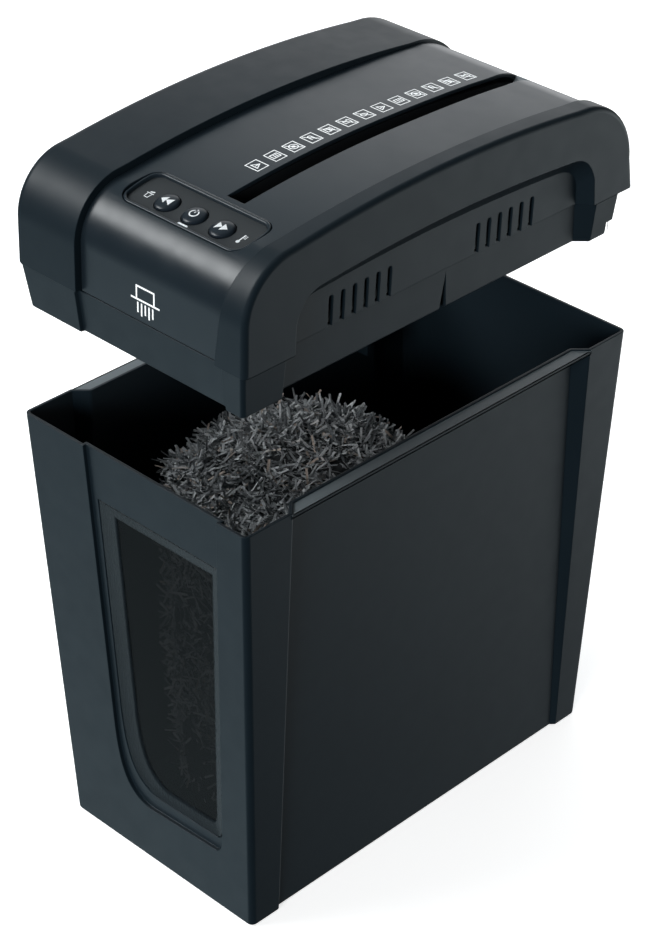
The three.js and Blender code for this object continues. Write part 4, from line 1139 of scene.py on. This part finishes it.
def centre_panel(name, settings):
    skin = head_block(name, PANEL["sunk"], PANEL["left"] - 1, HALF_WIDTH, 0.0, True)
    under = PANEL["sunk"] + PANEL["thick"]
    cut(skin, head_block("underside", under, PANEL["left"] - 2, HALF_WIDTH + 1, rising=True))
    keep_inside(skin, panel_region("edges", -0.3, -REACH, PANEL["rear"] - 0.3))
    top = crown_height(SLOT["rear"], PANEL["sunk"]) + rear_rise(SLOT["rear"])
    half = SLOT["width"] / 2
    across = (SLOT["x"] - half, SLOT["x"] + half)
    cut(skin, block("slot", across, (SLOT["front"], SLOT["rear"]), (30, 90), AT_HEAD))
    end = SLOT_END
    ramp = [(end["back"], top - end["top"]), (end["foot"], top - end["drop"]), (end["wall"], top - end["drop"]),
            (end["wall"], top - end["step"]), (end["back"], top - end["step"])]
    add(skin, prism_x("slot end", ramp, SLOT["x"] - end["half"], SLOT["x"] + end["half"]))
    cut(skin, prism_z("inlay opening", inlay_outline(-0.35), *INLAY_CUT, AT_CONTROLS))
    ease_edges(skin, settings.edge / MM)
    return skin


def lower_ring(size, inset, h):
    return [(x, y, h) for x, y in lower_plan(size, inset)]


def lower_shell(name, settings):
    depth = LOWER_DEPTH - SEAM_GAP
    near_base = mixed(LOWER_BASE, LOWER_TOP, LOWER_CHAMFER / depth)
    shell = loft(name, [
        lower_ring(LOWER_BASE, LOWER_CHAMFER, -LOWER_DEPTH),
        lower_ring(near_base, 0.0, -LOWER_DEPTH + LOWER_CHAMFER),
        lower_ring(LOWER_TOP, 0.0, -SEAM_GAP),
    ], AT_HEAD)
    cut(shell, loft("hollow", [
        lower_ring(LOWER_BASE, LOWER_WALL, -LOWER_DEPTH + LOWER_WALL + 0.2),
        lower_ring(LOWER_TOP, LOWER_WALL, LOWER_WALL),
    ], AT_HEAD))
    cut(shell, block("outlet", OUTLET["x"], OUTLET["y"], (-REACH, -20), AT_HEAD))

    step = REAR_STEP
    across = (-step["half"], step["half"])
    cut(shell, block("rear step", (-REACH, REACH), (step["wall"][1], step["beyond"]),
                     (-LOWER_DEPTH - 1, step["high"]), AT_HEAD))
    add(shell, block("step wall", across, step["wall"], (-LOWER_DEPTH + 0.3, step["wall_top"]), AT_HEAD))
    add(shell, block("step roof", across, step["roof"], (step["high"], step["high"] + step["roof_thick"]), AT_HEAD))

    cut(shell, turned_y("gland hole", [(GLAND["hole"], y) for y in GLAND["y"]], (GLAND["x"], GLAND["h"])))
    foot = -LOWER_DEPTH + NOTCH["foot"]
    notch = [(NOTCH["front"], BELOW), (NOTCH["rear"], BELOW), (NOTCH["rear"], foot),
             (NOTCH["tip"], NOTCH["top"]), (NOTCH["front"], foot)]
    cut(shell, prism_x("notch", notch, *NOTCH["x"]))
    for centre in SEAT_SCREWS:
        cut(shell, hole_from_below("screw well", SCREW_WELL["radius"], SCREW_WELL["top"], centre))
    cut(shell, hole_from_below("plunger hole", PLUNGER["hole"], PLUNGER["top"], (PLUNGER["x"], PLUNGER["y"])))
    ease_edges(shell, settings.edge / MM)
    return shell


def hole_from_below(name, radius, top, centre):
    return turned(name, [(radius, BELOW), (radius, top)], centre, 24, AT_HEAD)


class SHREDDER_OT_upper_shell(bpy.types.Operator):
    """Build the head's upper shell"""
    bl_idname = "shredder.upper_shell"
    bl_label = "Upper shell"

    def execute(self, context):
        shell = upper_shell("top_shell", context.scene.shredder_head)
        seat(shell, "head", finish("shell_plastic"), ["upper_shell"])
        return {"FINISHED"}


class SHREDDER_OT_lower_shell(bpy.types.Operator):
    """Build the head's lower shell"""
    bl_idname = "shredder.lower_shell"
    bl_label = "Lower shell"

    def execute(self, context):
        shell = lower_shell("under_shell", context.scene.shredder_head)
        seat(shell, "head", finish("shell_plastic"), ["lower_shell"])
        return {"FINISHED"}


class SHREDDER_OT_centre_panel(bpy.types.Operator):
    """Build the sunk centre panel with its paper slot"""
    bl_idname = "shredder.centre_panel"
    bl_label = "Centre panel"

    def execute(self, context):
        panel = centre_panel("slot_panel", context.scene.shredder_head)
        seat(panel, "head", finish("panel_plastic"), ["centre_panel"])
        # painted light on the slot's end ramp, which lies in shade
        paint(panel, painted_highlight_plastic(), on_slot_end)
        return {"FINISHED"}


# ---------------------------------------------------------------- printed marks
class Marks:
    """Thin printed strokes and patches, laid on a surface given by a function."""

    def __init__(self, surface, line, thick=0.1):
        self.surface = surface
        self.line = line
        self.thick = thick
        self.verts = []
        self.faces = []

    def patch(self, corners):
        """A thin tile over four corners."""
        base = len(self.verts)
        for lift in (-self.thick, self.thick / 2):
            for u, v in corners:
                point, normal = self.surface(u, v)
                self.verts.append(point + normal * lift)
        self.faces.append(tuple(base + k for k in (3, 2, 1, 0)))
        self.faces.append(tuple(base + k for k in (4, 5, 6, 7)))
        for k in range(4):
            j = (k + 1) % 4
            self.faces.append((base + k, base + j, base + 4 + j, base + 4 + k))

    def stroke(self, *points, width=None):
        half = (width or self.line) / 2
        for start, end in zip(points, points[1:]):
            a = Vector(start)
            b = Vector(end)
            along = (b - a).normalized()
            side = Vector((-along.y, along.x)) * half
            a = a - along * half * 0.9
            b = b + along * half * 0.9
            pieces = max(1, int((b - a).length / 2.5))
            for i in range(pieces):
                p = a.lerp(b, i / pieces)
                q = a.lerp(b, (i + 1) / pieces)
                self.patch([tuple(p - side), tuple(q - side), tuple(q + side), tuple(p + side)])

    def ring(self, u, v, radius, start=0, end=360, width=None):
        steps = max(6, int(abs(end - start) / 20))
        points = []
        for i in range(steps + 1):
            angle = math.radians(start + (end - start) * i / steps)
            points.append((u + radius * math.cos(angle), v + radius * math.sin(angle)))
        self.stroke(*points, width=width)

    def frame(self, u, v, wide, deep):
        corners = [(u - wide, v - deep), (u + wide, v - deep), (u + wide, v + deep), (u - wide, v + deep)]
        self.stroke(*corners, corners[0])

    def wedge(self, tip, back, half):
        """A filled triangle from its tip to its back edge, made of slices."""
        slices = 6
        for i in range(slices):
            for k in range(slices):
                corners = []
                for along, across in ((i, k), (i + 1, k), (i + 1, k + 1), (i, k + 1)):
                    share = max(along / slices, 0.01)
                    u = tip[0] + (back - tip[0]) * share
                    corners.append((u, tip[1] + half * share * (2 * across / slices - 1)))
                self.patch(corners)

    def build(self, name, place=AT_BIN):
        return piece(name, self.verts, self.faces, place)


def on_panel(u, v):
    """A point on the centre panel's upper surface, and the way out of it."""
    step = 0.5
    before, here, after = (crown_height(y, PANEL["sunk"]) + rear_rise(y) for y in (v - step, v, v + step))
    return Vector((u, v, SEAM + here)), Vector((0, (before - after) / (2 * step), 1)).normalized()


def on_front(u, v):
    """A point on the centre panel's front face; v is the height above the seam."""
    share = v / NOSE["h"]
    foot = NOSE_FOOT + PANEL["sunk"]
    start = NOSE["y"] - NOSE["radius"] + PANEL["sunk"]
    return Vector((u, foot + (start - foot) * share, SEAM + v)), Vector((0, -1, 0))


def struck_out(marks, u, v):
    marks.stroke((u - 4.0, v - 3.0), (u + 4.0, v + 3.0))


def page_glyph(marks, u, v):
    marks.frame(u, v, 2.0, 2.6)
    marks.stroke((u - 1.1, v + 1.0), (u + 1.1, v + 1.0))
    marks.stroke((u - 1.1, v - 0.6), (u + 1.1, v - 0.6))


def arrow_glyph(marks, u, v):
    marks.stroke((u - 2.6, v - 2.0), (u, v + 2.2), (u + 2.6, v - 2.0), (u - 2.6, v - 2.0))
    marks.stroke((u, v - 1.0), (u, v + 0.8))


def disc_glyph(marks, u, v):
    marks.ring(u, v, 2.7)
    marks.ring(u, v, 0.8)
    struck_out(marks, u, v)


def clip_glyph(marks, u, v):
    marks.ring(u - 1.4, v, 1.2, 90, 270)
    marks.stroke((u - 1.4, v + 1.2), (u + 2.4, v + 1.2))
    marks.stroke((u - 1.4, v - 1.2), (u + 1.8, v - 1.2))
    struck_out(marks, u, v)


def hand_glyph(marks, u, v):
    for k in range(4):
        marks.stroke((u - 2.0 + k * 1.2, v - 0.6), (u - 2.0 + k * 1.2, v + 2.2))
    marks.frame(u - 0.2, v - 1.4, 2.1, 1.1)
    struck_out(marks, u, v)


def cloth_glyph(marks, u, v):
    marks.stroke((u - 2.6, v + 1.6), (u - 1.0, v + 2.4), (u + 1.0, v + 2.4), (u + 2.6, v + 1.6))
    marks.stroke((u - 1.4, v + 1.2), (u - 1.4, v - 2.2), (u + 1.4, v - 2.2), (u + 1.4, v + 1.2))
    struck_out(marks, u, v)


def drop_glyph(marks, u, v):
    marks.ring(u, v - 0.8, 1.6, 150, 390)
    marks.stroke((u - 1.4, v), (u, v + 2.6), (u + 1.4, v))
    struck_out(marks, u, v)


PICTOGRAMS = (arrow_glyph, page_glyph, disc_glyph, clip_glyph, hand_glyph, cloth_glyph, drop_glyph)
SQUARES = {"x": 11.6, "first": -70.4, "pitch": 14.0, "half_wide": 5.0, "half_deep": 4.1}
FRONT_MARK = {"x": 12.0, "h": 13.0, "line": 1.1}


class SHREDDER_OT_marks(bpy.types.Operator):
    """Print the row of generic pictograms and the mark on the front"""
    bl_idname = "shredder.marks"
    bl_label = "Printed marks"

    def execute(self, context):
        settings = context.scene.shredder_marks
        line = settings.line / MM
        ink = own_finish("ink", lambda: glowing_printed_ink("Glowing white ink", tuple(settings.ink) + (1.0,)))
        row = Marks(on_panel, line)
        for i in range(settings.count):
            v = SQUARES["first"] + i * SQUARES["pitch"]
            row.frame(SQUARES["x"], v, SQUARES["half_wide"], SQUARES["half_deep"])
            PICTOGRAMS[i % len(PICTOGRAMS)](row, SQUARES["x"], v)
        seat(row.build("slot_pictograms"), "head", ink)
        front = Marks(on_front, FRONT_MARK["line"])
        front_mark(front, FRONT_MARK["x"], FRONT_MARK["h"])
        seat(front.build("front_mark"), "head", ink)
        return {"FINISHED"}


def front_mark(marks, u, v):
    """A plain sheet that turns into strips."""
    marks.stroke((u - 7, v), (u - 7, v + 8), (u + 7, v + 8), (u + 7, v))
    marks.stroke((u - 11, v), (u + 11, v))
    for k in range(5):
        x = u - 6 + 3 * k
        marks.stroke((x, v - 2.2), (x, v - 7.5 - (k % 2) * 1.5))


# ---------------------------------------------------------------- controls
def inlay_outline(inset):
    """Plan of the control inlay: straight long sides, bulging ends and rounded corners."""
    length = INLAY["half_length"]
    width = INLAY["half_width"]
    corners = [(length, -width), (length, width), (-length, width), (-length, -width)]
    rounded = filleted(corners, [INLAY["corner"]] * 4, 8)
    outline = []
    for i, (x, y) in enumerate(rounded):
        following = rounded[(i + 1) % len(rounded)]
        across_end = abs(x) > length - 0.01 and abs(following[0] - x) < 0.01
        for k in range(4 if across_end else 1):
            level = y + (following[1] - y) * k / 4
            swell = INLAY["bulge"] * (1 - (level / width) ** 2) * (x / length) ** 2
            outline.append((x + math.copysign(swell, x), level))
    return inset_loop(outline, inset)


def inlay_ring(inset, z):
    return [(x, y, z) for x, y in inlay_outline(inset)]


def button_places():
    return [(name, BUTTON["x"] + (i - 1) * BUTTON["pitch"]) for i, name in enumerate(BUTTON_NAMES)]


def inlay_holes():
    wall = [(BUTTON["hole"], z) for z in INLAY_CUT]
    holes = [turned("hole", wall, (x, BUTTON["y"]), 48, AT_CONTROLS) for _, x in button_places()]
    pipe = (BUTTON["x"] - PIPE_HOLE["half"], BUTTON["x"] + PIPE_HOLE["half"])
    holes.append(block("pipe hole", pipe, PIPE_HOLE["y"], INLAY_CUT, AT_CONTROLS))
    return merged("holes", holes)


# the bead round the inlay, from its outer wall over the top to its inner wall: (inset, height)
BEAD = [(0.0, INLAY["bottom"]), (0.0, -0.3), (0.15, 0.05), (0.5, 0.3), (1.0, 0.38), (1.5, 0.28),
        (1.85, 0.0), (2.05, -0.4), (2.2, -2.2), (2.2, INLAY["bottom"])]
PLATE_INSET = 2.15
FULL_ICON = (-35.4, -2.8)
HOT_ICON = (37.0, -2.5)


def full_icon(marks, u, v):
    """A bin with its lid ajar."""
    marks.stroke((u - 1.6, v + 1.4), (u - 1.2, v - 2.2), (u + 1.2, v - 2.2), (u + 1.6, v + 1.4))
    marks.stroke((u - 2.4, v + 1.5), (u + 2.4, v + 1.5))
    marks.stroke((u - 0.6, v + 2.6), (u + 1.4, v + 3.2), width=0.9)


def hot_icon(marks, u, v):
    """A thermometer with three marks beside it."""
    marks.stroke((u, v - 2.0), (u, v + 3.4), width=0.8)
    marks.ring(u, v - 2.6, 0.5, width=1.1)
    for k in range(3):
        marks.stroke((u + 1.0, v + 1.0 + k * 1.0), (u + 2.2, v + 1.0 + k * 1.0), width=0.4)


def on_plate(u, v):
    return Vector((u, v, INLAY["plate"])), Vector((0, 0, 1))


class SHREDDER_OT_inlay(bpy.types.Operator):
    """Build the control inlay: its bead, its plate and the icons on it"""
    bl_idname = "shredder.inlay"
    bl_label = "Control inlay"

    def execute(self, context):
        bead = loft("inlay_bead", [inlay_ring(inset, z) for inset, z in BEAD], AT_CONTROLS, tube=True)
        smooth_by_angle(bead, 50)
        seat(bead, "head", finish("panel_plastic"), ["control_inlay"])
        levels = (INLAY["bottom"], INLAY["plate"])
        plate = loft("inlay_plate", [inlay_ring(PLATE_INSET, z) for z in levels], AT_CONTROLS)
        cut(plate, inlay_holes())
        ease_edges(plate, 0.2)
        seat(plate, "head", finish("inlay_plastic"))
        icons = Marks(on_plate, 0.5, 0.06)
        full_icon(icons, *FULL_ICON)
        hot_icon(icons, *HOT_ICON)
        seat(icons.build("inlay_icons", AT_CONTROLS), "head", icon_ink())
        return {"FINISHED"}


# a button from the top of its dome to the foot of its stem: (radius, height)
DOME = [(0.05, 0.78), (1.4, 0.74), (2.8, 0.64), (4.2, 0.46), (5.4, 0.22), (6.3, -0.1), (6.9, -0.5),
        (7.2, -1.0), (7.3, -1.7), (7.3, -4.0), (8.0, -4.0), (8.0, -5.6), (2.0, -5.6), (2.0, -9.0)]


def dome_height(radius):
    for (r0, h0), (r1, h1) in zip(DOME, DOME[1:]):
        if r0 <= radius <= r1:
            return h0 + (h1 - h0) * (radius - r0) / (r1 - r0)
    return DOME[0][1]


def button_symbol(marks, name, x):
    """Two arrowheads back or forward, or a ring with a bar."""
    y = BUTTON["y"]
    if name == "power":
        marks.ring(x, y, 2.6, 125, 415, width=0.75)
        marks.stroke((x, y + 0.6), (x, y + 3.3), width=0.75)
        return
    way = -1 if name == "rewind" else 1
    marks.wedge((x + way * 4.3, y), x + way * 0.3, 2.9)
    marks.wedge((x + way * 0.3, y), x - way * 3.7, 2.9)


class SHREDDER_OT_buttons(bpy.types.Operator):
    """Build the three domed buttons with their symbols"""
    bl_idname = "shredder.buttons"
    bl_label = "Buttons"

    def execute(self, context):
        for name, x in button_places():
            cap = turned(f"{name}_cap", DOME, (x, BUTTON["y"]), 64, AT_CONTROLS)
            smooth_by_angle(cap, 40)
            seat(cap, f"{name}_button", finish("button_plastic"), [f"{name}_button"])

            def on_dome(u, v, x=x):
                radius = math.hypot(u - x, v - BUTTON["y"])
                away = Vector((u - x, v - BUTTON["y"], 0)) * 0.03
                return Vector((u, v, dome_height(radius))), (away + Vector((0, 0, 1))).normalized()

            symbol = Marks(on_dome, 0.7, 0.1)
            button_symbol(symbol, name, x)
            seat(symbol.build(f"{name}_symbol", AT_CONTROLS), f"{name}_button", icon_ink())
        return {"FINISHED"}


# ---------------------------------------------------------------- machinery
# how far the edges of the nodes in each slot are eased, in millimetres
EASED_SLOTS = {"plate_steel": 0.25, "cutter_steel": 0.15, "nylon": 0.15, "bronze": 0.2, "board": 0.1,
               "black_plastic": 0.3, "clear_pipe": 0.25, "ferrite": 0.3, "armature": 0.2}


def slot_of_nodes():
    """The material slot that the record gives each node."""
    return {part["node"]: part["material_slot"] for part in frame["record"]["subparts"]}


class SHREDDER_OT_machinery(bpy.types.Operator):
    """Finish the cutting unit, motor, gears, screws and switches"""
    bl_idname = "shredder.machinery"
    bl_label = "Machinery"

    def execute(self, context):
        slots = slot_of_nodes()
        for name, node in frame["nodes"].items():
            slot = slots[name]
            node.data.materials.clear()
            node.data.materials.append(finish(slot))
            if slot not in EASED_SLOTS:
                continue
            bevel = node.modifiers.new("Eased edges", "BEVEL")
            bevel.width = EASED_SLOTS[slot] * MM
            bevel.segments = 2
            bevel.limit_method = "ANGLE"
            bevel.angle_limit = math.radians(40)
        return {"FINISHED"}


# ---------------------------------------------------------------- stage
# soft boxes round the object: direction, where each starts and is full, strength and tint
WORLD_LOBES = [
    ((-0.62, 0.75, 0.22), 0.87, 0.985, 1.05, (0.96, 0.98, 1.0)),
    ((-0.60, 0.79, -0.08), 0.90, 0.99, 0.5, (0.96, 0.98, 1.0)),
    ((-0.68, -0.46, 0.58), 0.955, 0.992, 6.0, (0.96, 0.99, 1.0)),
    ((-0.50, -0.62, 0.60), 0.955, 0.992, 6.0, (0.96, 0.99, 1.0)),
    ((0.41, 0.87, -0.26), 0.87, 0.985, 2.2, (0.88, 0.97, 1.0)),
    ((-0.58, -0.40, -0.71), 0.86, 0.995, 0.85, (0.75, 0.93, 1.0)),
    ((-0.55, 0.25, 0.80), 0.80, 0.97, 0.3, (0.7, 0.9, 1.0)),
]
WORLD_FILL = (0.018, 0.026, 0.032)
OVERHEAD = {"spread": 60, "from": (-0.24, 0.2, 0.95)}
LOW_FRONT = {"spread": 25, "from": (0.3, -0.9, 0.2)}
FLOOR = {"half": 6000.0, "level": -0.4}
VIEW = {"target": (-6.3, 0.0, 219.5), "azimuth": 45.0, "elevation": 32.93, "distance": 1663.5}


def build_world():
    """A world that lights and reflects as the soft boxes, and looks white behind the object."""
    world = bpy.data.worlds.new("Studio")
    bpy.context.scene.world = world
    world.use_nodes = True
    tree = world.node_tree
    direction = add_node(tree, "ShaderNodeTexCoord").outputs["Generated"]
    total = WORLD_FILL
    for way, start, full, strength, tint in WORLD_LOBES:
        towards = {0: direction, 1: Vector(way).normalized()}
        dot = add_node(tree, "ShaderNodeVectorMath", towards, operation="DOT_PRODUCT").outputs["Value"]
        edge = {"Value": dot, "From Min": start, "From Max": full}
        level = add_node(tree, "ShaderNodeMapRange", edge, interpolation_type="SMOOTHSTEP").outputs["Result"]
        light = {0: Vector(tint) * strength, "Scale": level}
        tinted = add_node(tree, "ShaderNodeVectorMath", light, operation="SCALE").outputs["Vector"]
        total = add_node(tree, "ShaderNodeVectorMath", {0: total, 1: tinted}, operation="ADD").outputs["Vector"]
    lit = tree.nodes["Background"]
    feed(tree, lit.inputs["Color"], total)
    backdrop = add_node(tree, "ShaderNodeBackground", {"Color": (1.0, 1.0, 1.0, 1.0)})
    seen = add_node(tree, "ShaderNodeLightPath").outputs["Is Camera Ray"]
    choice = {"Fac": seen, 1: lit.outputs["Background"], 2: backdrop.outputs["Background"]}
    choose = add_node(tree, "ShaderNodeMixShader", choice)
    feed(tree, tree.nodes["World Output"].inputs["Surface"], choose.outputs["Shader"])


def build_floor(shade):
    half = FLOOR["half"]
    corners = [(-half, -half), (half, -half), (half, half), (-half, half)]
    floor = piece("floor", [(x, y, FLOOR["level"]) for x, y in corners], [(0, 1, 2, 3)])
    coat = Finish("Pale floor", Roughness=0.9, Specular_IOR_Level=0.1, Emission_Strength=0.8)
    cloud = coat.noise(400, 2, 0.5)
    pale = tuple(shade) + (1.0,)
    coat.set(Base_Color=coat.ramp(cloud, scaled(pale, 0.985), pale, 0.3, 0.7))
    coat.set(Emission_Color=coat.ramp(cloud, scaled(pale, 0.99), pale, 0.3, 0.7))
    floor.data.materials.append(coat.material)
    floor.visible_glossy = False
    floor.visible_diffuse = False
    floor.visible_shadow = False


def build_light(name, strength, spread, source):
    """A soft distant light shining from the given direction; it leaves no mirror image."""
    light = bpy.data.lights.new(name, "SUN")
    light.energy = strength
    light.angle = math.radians(spread)
    lamp = bpy.data.objects.new(name, light)
    bpy.context.scene.collection.objects.link(lamp)
    lamp.rotation_euler = Vector(source).to_track_quat("Z", "Y").to_euler()
    lamp.visible_glossy = False


def build_camera(lens):
    camera = bpy.data.cameras.new("Camera")
    camera.lens = lens
    camera.sensor_width = 36
    camera.clip_end = 50
    eye = bpy.data.objects.new("Camera", camera)
    bpy.context.scene.collection.objects.link(eye)
    target = Vector(VIEW["target"]) * MM
    azimuth = math.radians(VIEW["azimuth"])
    elevation = math.radians(VIEW["elevation"])
    distance = VIEW["distance"] * MM
    back = Vector((math.sin(azimuth) * math.cos(elevation), -math.cos(azimuth) * math.cos(elevation),
                   math.sin(elevation)))
    eye.location = target + back * distance
    eye.rotation_euler = (-back).to_track_quat("-Z", "Y").to_euler()
    bpy.context.scene.camera = eye


class SHREDDER_OT_stage(bpy.types.Operator):
    """Set up the floor, the lights and the camera"""
    bl_idname = "shredder.stage"
    bl_label = "Stage"

    def execute(self, context):
        settings = context.scene.shredder_stage
        context.scene.view_settings.view_transform = "Standard"
        build_world()
        build_floor(settings.floor_shade)
        build_light("Overhead", settings.key_strength, OVERHEAD["spread"], OVERHEAD["from"])
        build_light("Low front", settings.front_strength, LOW_FRONT["spread"], LOW_FRONT["from"])
        build_camera(settings.lens)
        return {"FINISHED"}


# ---------------------------------------------------------------- add-on
OPERATORS = (
    SHREDDER_OT_stage,
    SHREDDER_OT_machinery,
    SHREDDER_OT_bin,
    SHREDDER_OT_window,
    SHREDDER_OT_shreds,
    SHREDDER_OT_upper_shell,
    SHREDDER_OT_lower_shell,
    SHREDDER_OT_centre_panel,
    SHREDDER_OT_marks,
    SHREDDER_OT_inlay,
    SHREDDER_OT_buttons,
)
SETTINGS = {
    "shredder_bin": BinSettings,
    "shredder_shreds": ShredSettings,
    "shredder_head": HeadSettings,
    "shredder_marks": MarkSettings,
    "shredder_stage": StageSettings,
}


class SHREDDER_PT_panel(bpy.types.Panel):
    """Lists the shredder's settings and the steps that build it"""
    bl_idname = "SHREDDER_PT_panel"
    bl_label = "Paper shredder"
    bl_space_type = "VIEW_3D"
    bl_region_type = "UI"
    bl_category = "Shredder"

    def draw(self, context):
        for name, group in SETTINGS.items():
            settings = getattr(context.scene, name)
            box = self.layout.box()
            for field in group.__annotations__:
                box.prop(settings, field)
        for operator in OPERATORS:
            self.layout.operator(operator.bl_idname)


def register():
    for group in SETTINGS.values():
        bpy.utils.register_class(group)
    for name, group in SETTINGS.items():
        setattr(bpy.types.Scene, name, bpy.props.PointerProperty(type=group))
    for operator in OPERATORS:
        bpy.utils.register_class(operator)
    bpy.utils.register_class(SHREDDER_PT_panel)


def unregister():
    bpy.utils.unregister_class(SHREDDER_PT_panel)
    for operator in reversed(OPERATORS):
        bpy.utils.unregister_class(operator)
    for name in SETTINGS:
        delattr(bpy.types.Scene, name)
    for group in SETTINGS.values():
        bpy.utils.unregister_class(group)


def main():
    register()
    for operator in OPERATORS:
        group, step = operator.bl_idname.split(".")
        getattr(getattr(bpy.ops, group), step)()


if __name__ == "__main__":
    main()
